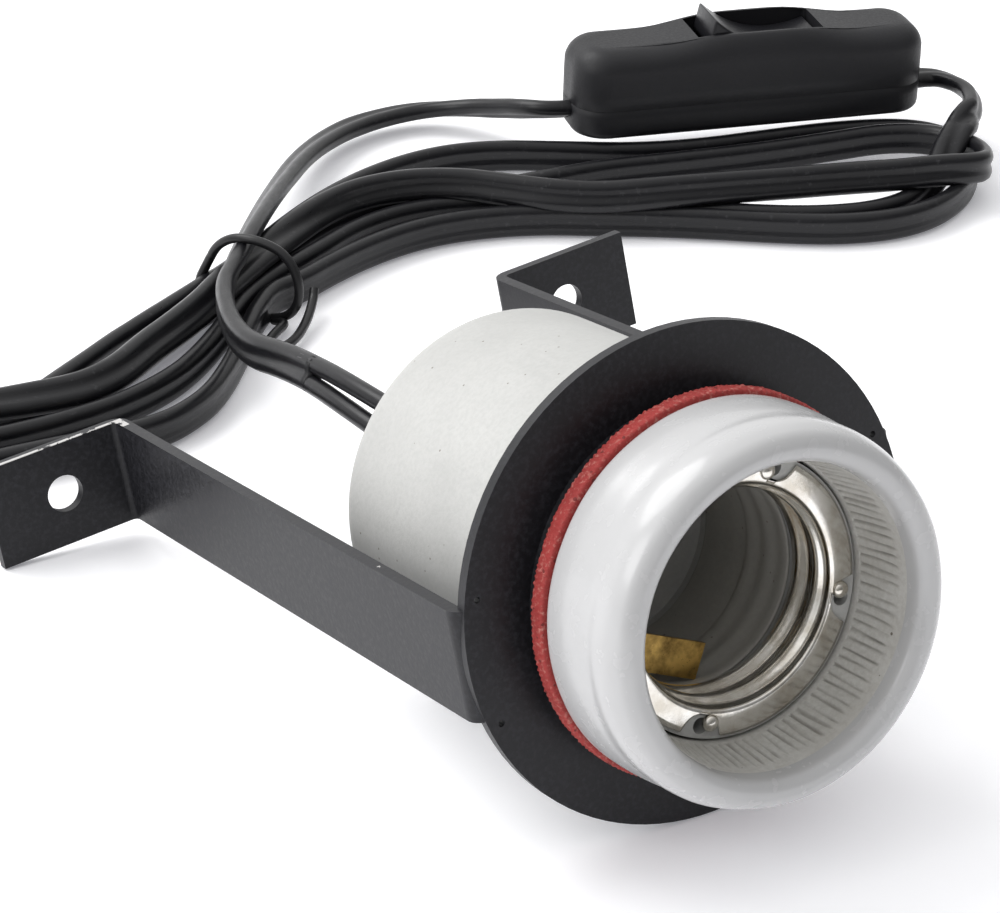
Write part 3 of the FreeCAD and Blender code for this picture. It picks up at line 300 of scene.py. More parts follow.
def washer_fibre(colours):
    look = Finish("washer_fibre", IOR=1.45)
    fibres = look.noise(1700, 4, 0.65)
    blots = look.noise(240, 3, 0.55)
    base = look.mix(blots, shade(colours.washer, 0.75), shade(colours.washer, 1.3))
    base = look.mix(look.ramp(fibres, (0.52, 0.0), (0.74, 1.0)), base, (0.48, 0.19, 0.16))
    pits = look.dots(900, 0.22, 0.35)
    base = look.mix(pits, base, (0.16, 0.02, 0.018))
    look.colour(base)
    look.rough(look.ramp(fibres, (0.3, 0.62), (0.7, 0.86)))
    look.bump(fibres, 0.8, 0.00018)
    return look.material


def glaze(colours):
    look = Finish("glaze", IOR=1.52, Coat_Weight=0.25, Coat_Roughness=0.10)
    cloud = look.noise(90, 4, 0.55)
    base = look.mix(cloud, shade(colours.glaze, 0.93), shade(colours.glaze, 1.04))
    pins = look.dots(260, 0.035, 0.10)
    base = look.mix(pins, base, (0.34, 0.33, 0.31))
    look.colour(base)
    look.rough(look.ramp(look.noise(420, 3), (0.3, 0.20), (0.7, 0.30)))
    look.bump(look.noise(150, 2), 0.10, 0.0004)
    look.bump(look.noise(1400, 2), 0.05, 0.00008)
    return look.material


def bisque(name, tone, specks):
    look = Finish(name, IOR=1.46)
    cloud = look.noise(45, 5, 0.6)
    fine = look.noise(1600, 4, 0.7)
    streaks = look.noise(160, 4, 0.6, look.stretched(1.0, 0.14, 1.0))
    base = look.mix(look.ramp(cloud, (0.3, 0.0), (0.7, 1.0)), shade(tone, 0.90), shade(tone, 1.05))
    base = look.mix(look.ramp(streaks, (0.62, 0.0), (0.82, 0.5)), base, shade(tone, 0.72))
    base = look.mix(look.ramp(fine, (0.35, 0.35), (0.6, 0.0)), base, shade(tone, 0.74))
    dark = look.dots(190, 0.055, specks)
    base = look.mix(dark, base, (0.10, 0.09, 0.08))
    small = look.dots(480, 0.07, specks)
    base = look.mix(small, base, (0.22, 0.20, 0.18))
    look.colour(base)
    look.rough(look.ramp(fine, (0.3, 0.62), (0.7, 0.84)))
    look.bump(fine, 0.35, 0.00010)
    look.bump(cloud, 0.2, 0.0004)
    return look.material


def fluted_bisque():
    """Unglazed bore of the collar: painted shade lies in its flutes."""
    look = Finish("bisque_flutes", IOR=1.46)
    groove = look.node("ShaderNodeAttribute", {"attribute_name": "groove"}).outputs["Fac"]
    cloud = look.noise(120, 5, 0.6)
    fine = look.noise(1500, 4, 0.7)
    base = look.mix(look.ramp(cloud, (0.35, 0.0), (0.7, 1.0)), (0.50, 0.49, 0.46), (0.60, 0.595, 0.57))
    base = look.mix(look.ramp(fine, (0.35, 0.4), (0.6, 0.0)), base, (0.36, 0.34, 0.31))
    # Painted shade: the flutes darken with their depth, read from the groove attribute.
    base = look.mix(look.ramp(groove, (0.1, 0.0), (0.9, 0.55)), base, (0.22, 0.205, 0.185))
    look.colour(look.mix(look.dots(420, 0.08, 0.12), base, (0.16, 0.14, 0.12)))
    look.rough(look.ramp(fine, (0.3, 0.66), (0.7, 0.86)))
    look.bump(fine, 0.4, 0.00012)
    return look.material


def plated_metal(name, tone, tarnish, roughness, spread):
    look = Finish(name, Metallic=1.0)
    blots = look.noise(320, 5, 0.6)
    fine = look.noise(2600, 3, 0.6)
    base = look.mix(look.ramp(blots, (0.38, 0.0), (0.66, 1.0)), tone, tarnish)
    look.colour(base)
    look.rough(look.ramp(fine, (0.25, roughness), (0.75, roughness + spread)))
    look.bump(fine, 0.12, 0.00005)
    look.bump(blots, 0.15, 0.00012)
    return look.material


def moulded_plastic(name, tone, roughness, grain):
    look = Finish(name, IOR=1.5, Specular_IOR_Level=0.34)
    fine = look.noise(2400, 3, 0.6)
    broad = look.noise(130, 4, 0.6)
    base = look.mix(broad, shade(tone, 0.82), shade(tone, 1.25))
    scuffs = look.noise(700, 5, 0.7, look.stretched(0.18, 1.0, 1.0))
    base = look.mix(look.ramp(scuffs, (0.66, 0.0), (0.84, 0.35)), base, shade(tone, 3.2))
    look.colour(base)
    look.rough(look.ramp(fine, (0.3, roughness), (0.75, roughness + 0.14)))
    look.bump(fine, grain, 0.00007)
    look.bump(broad, 0.12, 0.0003)
    return look.material


def cord_jacket(colours):
    """Extruded jacket: fine lines along the cord, on the piece's own UV map."""
    look = Finish("cord_jacket", IOR=1.5, Specular_IOR_Level=0.34)
    uv = look.node("ShaderNodeUVMap", {"uv_map": "run"}).outputs["UV"]
    lines = look.noise(1.0, 4, 0.6, look.stretched(26.0, 3.0, 1.0, uv))
    dust = look.noise(900, 4, 0.65)
    base = look.mix(lines, shade(colours.jacket, 0.75), shade(colours.jacket, 1.35))
    base = look.mix(look.ramp(dust, (0.60, 0.0), (0.82, 0.5)), base, (0.07, 0.07, 0.075))
    look.colour(base)
    look.rough(look.ramp(lines, (0.3, 0.27), (0.7, 0.40)))
    look.bump(lines, 0.22, 0.00008)
    look.bump(dust, 0.12, 0.00006)
    return look.material


def fibre_board():
    look = Finish("fibre_board", IOR=1.45)
    threads = look.noise(1300, 5, 0.7, look.stretched(1.0, 0.3, 1.0))
    base = look.mix(threads, (0.13, 0.10, 0.075), (0.30, 0.24, 0.18))
    look.colour(base)
    look.rough(look.ramp(threads, (0.3, 0.6), (0.7, 0.8)))
    look.bump(threads, 0.4, 0.0001)
    return look.material


def floor_sheet():
    look = Finish("floor_sheet", IOR=1.4, Emission_Color=(0.93, 0.93, 1.0, 1.0), Emission_Strength=0.20)
    grain = look.noise(35, 4, 0.6)
    look.colour(look.mix(grain, (0.915, 0.915, 0.925), (0.935, 0.935, 0.94)))
    look.rough(look.ramp(grain, (0.3, 0.7), (0.7, 0.8)))
    return look.material


FINISHES = {}


def make_finishes(colours):
    FINISHES.update(
        coat=powder_coat(colours),
        washer=washer_fibre(colours),
        glaze=glaze(colours),
        bisque=bisque("bisque", tuple(colours.bisque), 0.30),
        # Painted shade: the porcelain deep in the well is the same bisque, made darker; its extra
        # specks are its own.
        well=bisque("bisque_well", (0.37, 0.36, 0.335), 0.55),
        flutes=fluted_bisque(),
        nickel=plated_metal("nickel", (0.86, 0.84, 0.80), (0.62, 0.58, 0.51), 0.12, 0.12),
        brass=plated_metal("brass", (0.66, 0.43, 0.13), (0.10, 0.06, 0.02), 0.24, 0.2),
        copper=plated_metal("copper", (0.70, 0.34, 0.18), (0.35, 0.14, 0.07), 0.30, 0.2),
        plastic=moulded_plastic("moulded_plastic", (0.011, 0.011, 0.013), 0.42, 0.35),
        rocker=moulded_plastic("rocker_plastic", (0.009, 0.009, 0.011), 0.30, 0.16),
        white=moulded_plastic("plunger_plastic", (0.6, 0.6, 0.58), 0.4, 0.2),
        tie=moulded_plastic("tie_plastic", (0.010, 0.010, 0.011), 0.30, 0.15),
        jacket=cord_jacket(colours),
        board=fibre_board(),
        floor=floor_sheet(),
    )


# Mesh helpers
def linked(name, mesh, finish, smooth=True):
    piece = bpy.data.objects.new(name, mesh)
    bpy.context.scene.collection.objects.link(piece)
    mesh.materials.clear()
    mesh.materials.append(FINISHES[finish])
    if smooth:
        for face in mesh.polygons:
            face.use_smooth = True
    return piece


def grid_mesh(name, rows, close_rows=False, close_columns=True):
    """A mesh over rows of points.

    close_rows joins the last row to the first, and close_columns each row's end to its start.
    """
    points = np.asarray(rows, float)
    count, width = points.shape[:2]
    faces = []
    for i in range(count if close_rows else count - 1):
        following = (i + 1) % count
        for j in range(width if close_columns else width - 1):
            beside = (j + 1) % width
            faces.append((i * width + j, i * width + beside,
                          following * width + beside, following * width + j))
    mesh = bpy.data.meshes.new(name)
    mesh.from_pydata([tuple(p) for p in points.reshape(-1, 3)], [], faces)
    mesh.update()
    return mesh


def outward(mesh):
    work = bmesh.new()
    work.from_mesh(mesh)
    bmesh.ops.remove_doubles(work, verts=work.verts, dist=1e-7)
    bmesh.ops.recalc_face_normals(work, faces=work.faces)
    work.to_mesh(mesh)
    work.free()
    return mesh


def sealed(mesh):
    """Fills a mesh's open ends and turns its faces outwards."""
    work = bmesh.new()
    work.from_mesh(mesh)
    bmesh.ops.holes_fill(work, edges=[e for e in work.edges if e.is_boundary])
    bmesh.ops.recalc_face_normals(work, faces=work.faces)
    work.to_mesh(mesh)
    work.free()
    return mesh


def lathe(name, profile, turns, matrix, reach=None):
    """A closed ring turned about z from a closed profile of (radius, height) points in millimetres.

    reach gives a point's radius anew from its radius, height and angle.
    """
    rows = []
    for k in range(turns):
        angle = 2 * math.pi * k / turns
        row = []
        for radius, height in profile:
            if reach:
                radius = reach(radius, height, angle)
            row.append(matrix @ Vector((radius * math.cos(angle), radius * math.sin(angle), height)))
        rows.append(row)
    return outward(grid_mesh(name, rows, close_rows=True))


def settled(matrix):
    """A matrix that takes millimetres of a local frame to metres of the model's frame."""
    return matrix @ Matrix.Scale(MM, 4)


def rounded(points, radius, steps=5):
    """A closed outline with each corner rounded by a short curve."""
    result = []
    count = len(points)
    for index in range(count):
        before, here, after = (Vector(points[(index + k) % count]) for k in (-1, 0, 1))
        to_before, to_after = before - here, after - here
        back = min(radius, to_before.length * 0.49, to_after.length * 0.49)
        first = here + to_before.normalized() * back
        last = here + to_after.normalized() * back
        for k in range(steps + 1):
            t = k / steps
            spot = first * (1 - t) ** 2 + here * 2 * t * (1 - t) + last * t ** 2
            result.append(tuple(spot))
    return result


def divided(points, longest):
    """A closed outline with long runs divided."""
    result = []
    for here, after in zip(points, points[1:] + points[:1]):
        run = math.dist(here, after)
        pieces = max(1, math.ceil(run / longest))
        for k in range(pieces):
            t = k / pieces
            result.append(tuple(a * (1 - t) + b * t for a, b in zip(here, after)))
    return result


# Cords
def route_curve(name, route):
    """The route's smooth line: a quadratic spline with the route's points as control points."""
    curve = bpy.data.curves.new(name, "CURVE")
    curve.dimensions = "3D"
    spline = curve.splines.new("NURBS")
    spline.points.add(len(route) - 1)
    for spot, (x, y, z, _) in zip(spline.points, route):
        spot.co = (x * MM, y * MM, z * MM, 1.0)
    spline.order_u = 3
    spline.use_endpoint_u = True
    spline.resolution_u = 8
    holder = bpy.data.objects.new(name, curve)
    bpy.context.scene.collection.objects.link(holder)
    bpy.context.view_layer.update()
    line = bpy.data.meshes.new_from_object(holder.evaluated_get(
        bpy.context.evaluated_depsgraph_get()))
    points = [vertex.co.copy() for vertex in line.vertices]
    bpy.data.objects.remove(holder)
    bpy.data.meshes.remove(line)
    return points


def core_outline():
    """Round section of one core, as (across, thick) pairs."""
    radius, sides = CORE_RADIUS * 0.98, 14
    return [(radius * math.cos(2 * math.pi * k / sides), radius * math.sin(2 * math.pi * k / sides))
            for k in range(sides)]


def jacket_outline():
    """Section of the whole flat cord: two rounds joined by a shallow waist."""
    half = [(CORE_SPACING + CORE_RADIUS * math.cos(math.pi * (k / 6 - 0.5)),
             CORE_RADIUS * math.sin(math.pi * (k / 6 - 0.5))) for k in range(7)]
    for k in range(1, 6):
        x = CORE_SPACING * (1 - k / 3)
        half.append((x, CORE_RADIUS - WAIST * (0.5 + 0.5 * math.cos(math.pi * x / CORE_SPACING))))
    return half + [(-x, -y) for x, y in half]


def tubes_mesh(name, tubes):
    """Closed tubes in one mesh from rows of (length travelled, ring), with a UV map along each."""
    vertices, faces, coordinates = [], [], []
    for rows in tubes:
        if not rows:
            continue
        start, sides = len(vertices), len(rows[0][1])
        for _, ring in rows:
            vertices.extend(tuple(spot) for spot in ring)
        for i in range(len(rows) - 1):
            for j in range(sides):
                beside = (j + 1) % sides
                near, far = start + i * sides, start + (i + 1) * sides
                faces.append((near + j, near + beside, far + beside, far + j))
                here, there = rows[i][0] / UV_RUN, rows[i + 1][0] / UV_RUN
                coordinates.extend([(j / sides, here), ((j + 1) / sides, here),
                                    ((j + 1) / sides, there), (j / sides, there)])
        for end, order in ((0, -1), (len(rows) - 1, 1)):
            faces.append(tuple(start + end * sides + j for j in range(sides))[::order])
            coordinates.extend([(j / sides, 0.0) for j in range(sides)])
    mesh = bpy.data.meshes.new(name)
    mesh.from_pydata(vertices, [], faces)
    layer = mesh.uv_layers.new(name="run")
    layer.data.foreach_set("uv", np.array(coordinates, np.float32).ravel())
    return mesh


def flat_cord(name, route, fork=False):
    """Jacketed flat cord along the route, leaning as the route says, its cores apart at a fork."""
    points = route_curve(name + "_line", route)
    last = len(points) - 1
    core, jacket = core_outline(), jacket_outline()
    tubes = ([], [], [])
    travelled = 0.0
    for index, point in enumerate(points):
        before, after = points[max(index - 1, 0)], points[min(index + 1, last)]
        if index:
            travelled += (point - points[index - 1]).length
        along = (after - before).normalized()
        level = Vector((-along.y, along.x, 0.0)).normalized()
        rise = along.cross(level).normalized()
        share = index / last * (len(route) - 1)
        low = min(int(share), len(route) - 2)
        lean = math.radians(route[low][3] + (route[low + 1][3] - route[low][3]) * (share - low))
        across = level * math.cos(lean) - rise * math.sin(lean)
        thick = along.cross(across)
        apart = max(0.0, 1.0 - travelled / FORK_LENGTH)
        if fork and travelled < FORK_LENGTH + OVERLAP:
            for side, rows in zip((-1, 1), tubes):
                centre = point + across * (side * (CORE_SPACING + FORK_SPREAD * apart))
                rows.append((travelled, [centre + across * x + thick * y for x, y in core]))
        if not fork or travelled > FORK_LENGTH - OVERLAP:
            tubes[2].append((travelled, [point + across * x + thick * y for x, y in jacket]))
    return linked(name, outward(tubes_mesh(name, tubes)), "jacket"), points, travelled


def wire(points, radius, closed=False, sides=12):
    """A round wire along a smooth line through the neighbourhood of the points, in metres."""
    spots = [Vector(p) * MM for p in points]
    for _ in range(3):
        finer = []
        count = len(spots)
        for index in range(count if closed else count - 1):
            here, after = spots[index], spots[(index + 1) % count]
            finer += [here * 0.75 + after * 0.25, here * 0.25 + after * 0.75]
        spots = finer if closed else [spots[0]] + finer + [spots[-1]]
    rows = []
    count = len(spots)
    side = Vector((0.31, 0.22, 0.92))
    for index, spot in enumerate(spots):
        before = spots[index - 1] if closed or index else spot
        after = spots[(index + 1) % count] if closed or index < count - 1 else spot
        along = (after - before).normalized()
        side = (side - along * side.dot(along)).normalized()
        over = along.cross(side)
        rows.append([spot + side * (radius * math.cos(2 * math.pi * k / sides))
                     + over * (radius * math.sin(2 * math.pi * k / sides)) for k in range(sides)])
    return rows


TIE_RADIUS = 0.72 * MM
TIE_RING = [
    (10.7, 110.5, 7.0), (11.3, 108.6, 10.4), (12.4, 105.6, 12.6), (13.6, 103.0, 13.2),
    (15.3, 100.9, 13.0), (17.1, 98.3, 12.0), (18.2, 96.3, 9.4), (18.4, 95.4, 5.4),
    (17.2, 96.9, 2.0), (14.6, 100.4, 0.9), (12.0, 104.4, 0.9), (9.8, 108.6, 1.2),
    (9.2, 111.4, 3.2),
]
TIE_TAIL = [
    (15.6, 98.8, 1.1), (16.6, 96.4, 1.5), (13.4, 94.0, 1.7), (10.0, 90.8, 1.7), (10.4, 88.6, 1.6),
    (14.6, 90.2, 1.6), (18.9, 94.4, 2.0), (22.1, 98.4, 3.0), (23.0, 99.7, 4.2),
]


class FIXTURE_OT_tie(bpy.types.Operator):
    """Black wire tie round the hank's neck, with its turned tail"""

    bl_idname = "fixture.tie"
    bl_label = "Tie"

    def execute(self, context):
        ring = outward(grid_mesh("tie_ring", wire(TIE_RING, TIE_RADIUS, closed=True),
                                 close_rows=True))
        tail = sealed(grid_mesh("tie_tail", wire(TIE_TAIL, TIE_RADIUS)))
        work = bmesh.new()
        work.from_mesh(tail)
        work.from_mesh(ring)
        mesh = bpy.data.meshes.new("tie")
        work.to_mesh(mesh)
        work.free()
        tie = linked("tie", mesh, "tie")
        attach(tie, "root")
        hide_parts("twist_tie")
        return {"FINISHED"}


class FIXTURE_OT_camera(bpy.types.Operator):
    """Camera at the photograph's angle and lens"""

    bl_idname = "fixture.camera"
    bl_label = "Camera"

    def execute(self, context):
        data = bpy.data.cameras.new("camera")
        data.lens = 126.836
        data.sensor_width = 36.0
        data.clip_start = 0.01
        data.clip_end = 50.0
        camera = bpy.data.objects.new("camera", data)
        right = Vector((0.85750, -0.51387, 0.02507))
        up = Vector((0.22584, 0.41975, 0.87909))
        back = Vector((-0.46227, -0.74816, 0.47599))
        turn = Matrix((right, up, back)).transposed().to_4x4()
        camera.matrix_world = Matrix.Translation((-0.20332, -0.32099, 0.23461)) @ turn
        context.scene.collection.objects.link(camera)
        context.scene.camera = camera
        return {"FINISHED"}


class FIXTURE_OT_cords(bpy.types.Operator):
    """Lead to the switch, and the cord from the switch through the hank to the plug"""

    bl_idname = "fixture.cords"
    bl_label = "Cords"

    def execute(self, context):
        lead, line, length = flat_cord("lead", LEAD_ROUTE, fork=True)
        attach(lead, "root")
        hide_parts("lead_cord")
        hank, line, length = flat_cord("folded_cord", MAIN_ROUTE)
        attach(hank, "root")
        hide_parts("feed_cord", "cord_hank", "plug_cord")
        return {"FINISHED"}


class FIXTURE_OT_cad_finishes(bpy.types.Operator):
    """Detailed finishes on the CAD nodes that stay as they are"""

    bl_idname = "fixture.cad_finishes"
    bl_label = "Finishes of the CAD pieces"

    def execute(self, context):
        wear = {
            "coat": ["mounting_bracket"],
            "bisque": ["lamp_body"],
            "nickel": ["terminal_screws", "cover_screws", "switch_screws", "rocker_pin",
                       "rocker_spring", "plug_blades"],
            "brass": ["centre_contact", "side_contact", "contact_rivets", "terminal_plates",
                      "seesaw_contact", "fixed_contacts"],
            "copper": ["conductor_loops"],
            "jacket": ["lead_conductors"],
            "board": ["rear_cover"],
            "plastic": ["plug_strain_relief", "plug_body"],
            "white": ["rocker_plunger"],
        }
        for finish, names in wear.items():
            for name in names:
                slots = NODES[name].data.materials
                slots.clear()
                slots.append(FINISHES[finish])
        return {"FINISHED"}


class FIXTURE_OT_collar(bpy.types.Operator):
    """Glazed collar with its rounded lip, soft waist and fluted unglazed bore"""

    bl_idname = "fixture.collar"
    bl_label = "Collar"

    def execute(self, context):
        sizes = context.scene.fixture_sizes
        low, top, bore = 5.2, 19.8, 17.25
        flutes_low, flutes_high, flutes_fade = 9.2, top - 3.9, 1.6
        flutes_reach, shade_reach, unglazed_reach, unglazed_high = 18.15, 18.7, 18.5, top - 2.9
        wobble = 0.06
        outline = [
            (bore, low), (22.9, low), (22.95, low + 3.0), (22.75, low + 6.2), (22.58, low + 8.2),
            (22.66, low + 9.8), (22.5, top - 2.8), (21.7, top - 0.8), (20.3, top),
            (19.1, top - 0.2), (18.4, top - 1.0), (18.2, top - 2.4), (18.1, top - 3.8),
            (17.3, 9.35), (bore, 9.0),
        ]
        profile = divided(rounded(outline, 0.9, 5), 0.5)
        steps_per_flute = 10
        depth = sizes.flute_depth / MM

        def groove(height, angle):
            """How much of a flute's depth there is at a place of the bore."""
            if not flutes_low < height < flutes_high:
                return 0.0
            spot = Vector((math.cos(angle) * 22, math.sin(angle) * 22, height * 0.15))
            wave = max(0.0, math.cos(angle * sizes.flute_count + 1.6 * noise.noise(spot))) ** 2
            fade = min(1.0, (flutes_high - height) / flutes_fade)
            return fade * wave * (0.8 + 0.7 * noise.noise(spot * 1.7))

        def fluted(radius, height, angle):
            if radius < flutes_reach:
                radius += depth * groove(height, angle)
            spot = Vector((math.cos(angle) * 2.6, math.sin(angle) * 2.6, height * 0.25))
            return radius + wobble * noise.noise(spot)

        turns = sizes.flute_count * steps_per_flute
        mesh = lathe("collar", profile, turns, settled(SOCKET), fluted)
        collar = linked("collar", mesh, "glaze")
        mesh.materials.append(FINISHES["flutes"])
        inverse = settled(SOCKET).inverted()
        # The flutes' depth is kept on the mesh for the bore's finish, which paints shade into them.
        shadow = mesh.attributes.new("groove", "FLOAT", "POINT")
        for vertex, value in zip(mesh.vertices, shadow.data):
            spot = inverse @ vertex.co
            if math.hypot(spot.x, spot.y) < shade_reach:
                value.value = groove(spot.z, math.atan2(spot.y, spot.x))
        for face in mesh.polygons:
            spot = inverse @ face.center
            if math.hypot(spot.x, spot.y) < unglazed_reach and spot.z < unglazed_high:
                face.material_index = 1
        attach(collar, "collar")
        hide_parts("retaining_ring")
        return {"FINISHED"}


class FIXTURE_OT_washer(bpy.types.Operator):
    """Red heat-proof washer with a rough, pimpled rim"""

    bl_idname = "fixture.washer"
    bl_label = "Washer"

    def execute(self, context):
        outline = [(17.25, 2.85), (23.35, 2.85), (23.35, 5.15), (17.25, 5.15)]
        profile = divided(rounded(outline, 0.4, 3), 0.36)
        weave_count, steps_per_weave = 210, 6
        rim_from, soft_below = 22.5, 3.4

        def rough_rim(radius, height, angle):
            spot = Vector((math.cos(angle) * 40, math.sin(angle) * 40, height * 1.9))
            fine = Vector((math.cos(angle) * 75, math.sin(angle) * 75, height * 3.0))
            lump = 0.10 * noise.noise(spot) + 0.08 * noise.noise(fine)
            weave = math.cos(angle * weave_count + height * 3.4) * (0.7 + 0.5 * noise.noise(spot * 0.3))
            if radius > rim_from:
                radius += lump * (1.4 if height < soft_below else 0.7) + 0.09 * weave
            return radius

        turns = weave_count * steps_per_weave
        mesh = lathe("washer", profile, turns, settled(SOCKET), rough_rim)
        washer = linked("washer", mesh, "washer")
        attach(washer, "gasket")
        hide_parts("clamp_gasket")
        return {"FINISHED"}


class FIXTURE_OT_threaded_shell(bpy.types.Operator):
    """Rolled screw shell with its notched flange, and the porcelain thread behind it"""

    bl_idname = "fixture.threaded_shell"
    bl_label = "Screw shell"

    def execute(self, context):
        sizes = context.scene.fixture_sizes
        pitch, rise = sizes.thread_pitch / MM, sizes.thread_rise / MM
        inner, flange, top = 13.4, 16.5, 8.8
        notches = [math.radians(degrees) for degrees in NOTCH_DEGREES]
        turns, steps, depth = 360, 40, 7.4
        rows = []
        matrix = settled(SOCKET)
        for k in range(turns):
            angle = 2 * math.pi * k / turns
            edge = flange
            for notch in notches:
                away = math.atan2(math.sin(angle - notch), math.cos(angle - notch))
                reach = flange * math.sin(away)
                if abs(away) < 0.5 and abs(reach) < NOTCH_RADIUS:
                    deep = math.sqrt(NOTCH_RADIUS ** 2 - reach ** 2)
                    edge = min(edge, flange * math.cos(away) - deep)
            row = [(edge, top - 0.3), (edge, top)]
            row += [(edge + (inner + 0.5 - edge) * t / 4, top) for t in range(1, 5)]
            row += [(inner + 0.15, top - 0.06), (inner, top - 0.25)]
            for step in range(1, steps + 1):
                deep = step / steps * depth
                fade = min(1.0, deep / 1.2)
                wave = 0.5 - 0.5 * math.cos(2 * math.pi * deep / pitch + angle)
                row.append((inner - rise * wave * fade, top - 0.25 - deep))
            rows.append([matrix @ Vector((r * math.cos(angle), r * math.sin(angle), z))
                         for r, z in row])
        mesh = grid_mesh("threaded_shell", rows, close_rows=True, close_columns=False)
        centre = matrix @ Vector((0, 0, 5.0))
        axis = (matrix @ Vector((0, 0, 1)) - matrix @ Vector((0, 0, 0))).normalized()
        inside = mesh.polygons[len(mesh.polygons) // 2]
        spoke = inside.center - centre
        spoke -= axis * spoke.dot(axis)
        if inside.normal.dot(spoke) > 0:
            mesh.flip_normals()
        shell = linked("threaded_shell", mesh, "nickel")
        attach(shell, "root")
        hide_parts("screw_shell")

        outline = []
        for step in range(61):
            z = 0.6 - step / 60 * 17.4
            wave = 0.5 + 0.5 * math.cos(2 * math.pi * z / pitch)
            outline.append((13.3 - 0.22 * wave * (1.0 if z > -8 else 0.2), z))
        outline += [(13.38, -16.9), (13.38, 0.7)]
        # The well's porcelain wears the bisque darkened as painted shade.
        liner = linked("well_thread", lathe("well_thread", outline, 160, matrix), "well")
        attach(liner, "root")
        return {"FINISHED"}


def stake_places():
    """Stake places in the flange's notches, in the socket's frame."""
    places = []
    for degrees in NOTCH_DEGREES:
        angle = math.radians(degrees + STAKE_TURN)
        places.append(Vector((STAKE_OFFSET * math.cos(angle), STAKE_OFFSET * math.sin(angle),
                              STAKE_HEIGHT)))
    return places


class FIXTURE_OT_stakes(bpy.types.Operator):
    """Domed stakes that hold the shell's flange, placed by a node tree"""

    bl_idname = "fixture.stakes"
    bl_label = "Stakes"

    def execute(self, context):
        tree = bpy.data.node_groups.new("staking", "GeometryNodeTree")
        tree.interface.new_socket("Geometry", in_out="INPUT", socket_type="NodeSocketGeometry")
        head = tree.interface.new_socket("Head radius", in_out="INPUT",
                                         socket_type="NodeSocketFloat")
        tree.interface.new_socket("Geometry", in_out="OUTPUT", socket_type="NodeSocketGeometry")
        nodes, links = tree.nodes, tree.links
        start = nodes.new("NodeGroupInput")
        dome = nodes.new("GeometryNodeMeshUVSphere")
        dome.inputs["Segments"].default_value = 24
        dome.inputs["Rings"].default_value = 12
        links.new(start.outputs["Head radius"], dome.inputs["Radius"])
        flat = nodes.new("GeometryNodeTransform")
        flat.inputs["Scale"].default_value = (1.0, 1.0, 0.7)
        links.new(dome.outputs["Mesh"], flat.inputs["Geometry"])
        place = nodes.new("GeometryNodeInstanceOnPoints")
        links.new(start.outputs["Geometry"], place.inputs["Points"])
        links.new(flat.outputs["Geometry"], place.inputs["Instance"])
        turn = nodes.new("FunctionNodeAlignRotationToVector")
        turn.axis = "Z"
        turn.inputs["Vector"].default_value = SOCKET.to_3x3() @ Vector((0, 0, 1))
        links.new(turn.outputs["Rotation"], place.inputs["Rotation"])
        whole = nodes.new("GeometryNodeRealizeInstances")
        links.new(place.outputs["Instances"], whole.inputs["Geometry"])
        coat = nodes.new("GeometryNodeSetMaterial")
        coat.inputs["Material"].default_value = FINISHES["nickel"]
        links.new(whole.outputs["Geometry"], coat.inputs["Geometry"])
        end = nodes.new("NodeGroupOutput")
        links.new(coat.outputs["Geometry"], end.inputs["Geometry"])
        spots = bpy.data.meshes.new("stake_spots")
        matrix = settled(SOCKET)
        spots.from_pydata([tuple(matrix @ p) for p in stake_places()], [], [])
        holder = bpy.data.objects.new("stake_spots", spots)
        context.scene.collection.objects.link(holder)
        modifier = holder.modifiers.new("staking", "NODES")
        modifier.node_group = tree
        modifier[head.identifier] = STAKE_RADIUS * MM
        context.view_layer.update()
        mesh = bpy.data.meshes.new_from_object(
            holder.evaluated_get(context.evaluated_depsgraph_get()))
        bpy.data.objects.remove(holder)
        mesh.name = "stakes"
        stakes = linked("stakes", mesh, "nickel")
        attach(stakes, "root")
        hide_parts("shell_stakes")
        return {"FINISHED"}


# The case swells round the rocker's window: how high, about which middle and how far along, in mm.
SWELL = 1.35
WINDOW_MIDDLE = 1.2
SWELL_REACH = 13.5


def window_swell(x):
    """1 beside the rocker's window and 0 towards the case's ends."""
    return math.exp(-((x - WINDOW_MIDDLE) / SWELL_REACH) ** 4)


def case_outline(half_length, half_width, corner, middle=0.0, swell=0.0):
    """A rounded rectangle in plan, always with the same number of points.

    Its sides swell at the window.
    """
    points = []
    for x_sign, y_sign, turn in ((1, 1, 0), (-1, 1, 90), (-1, -1, 180), (1, -1, 270)):
        centre = (x_sign * (half_length - corner), y_sign * (half_width - corner))
        for k in range(9):
            angle = math.radians(turn + k * 11.25)
            points.append((middle + centre[0] + corner * math.cos(angle),
                           centre[1] + corner * math.sin(angle)))
        runs = 24 if turn in (0, 180) else 8
        follow = {0: (-1, 1), 90: (-1, -1), 180: (1, -1), 270: (1, 1)}[turn]
        after = (middle + follow[0] * (half_length - (corner if turn in (0, 180) else 0.0)),
                 follow[1] * (half_width - (corner if turn in (90, 270) else 0.0)))
        before = points[-1]
        for k in range(1, runs):
            t = k / runs
            points.append((before[0] * (1 - t) + after[0] * t, before[1] * (1 - t) + after[1] * t))
    return [(x, y + math.copysign(swell, y) * window_swell(x) * min(1.0, abs(y) / half_width))
            for x, y in points]


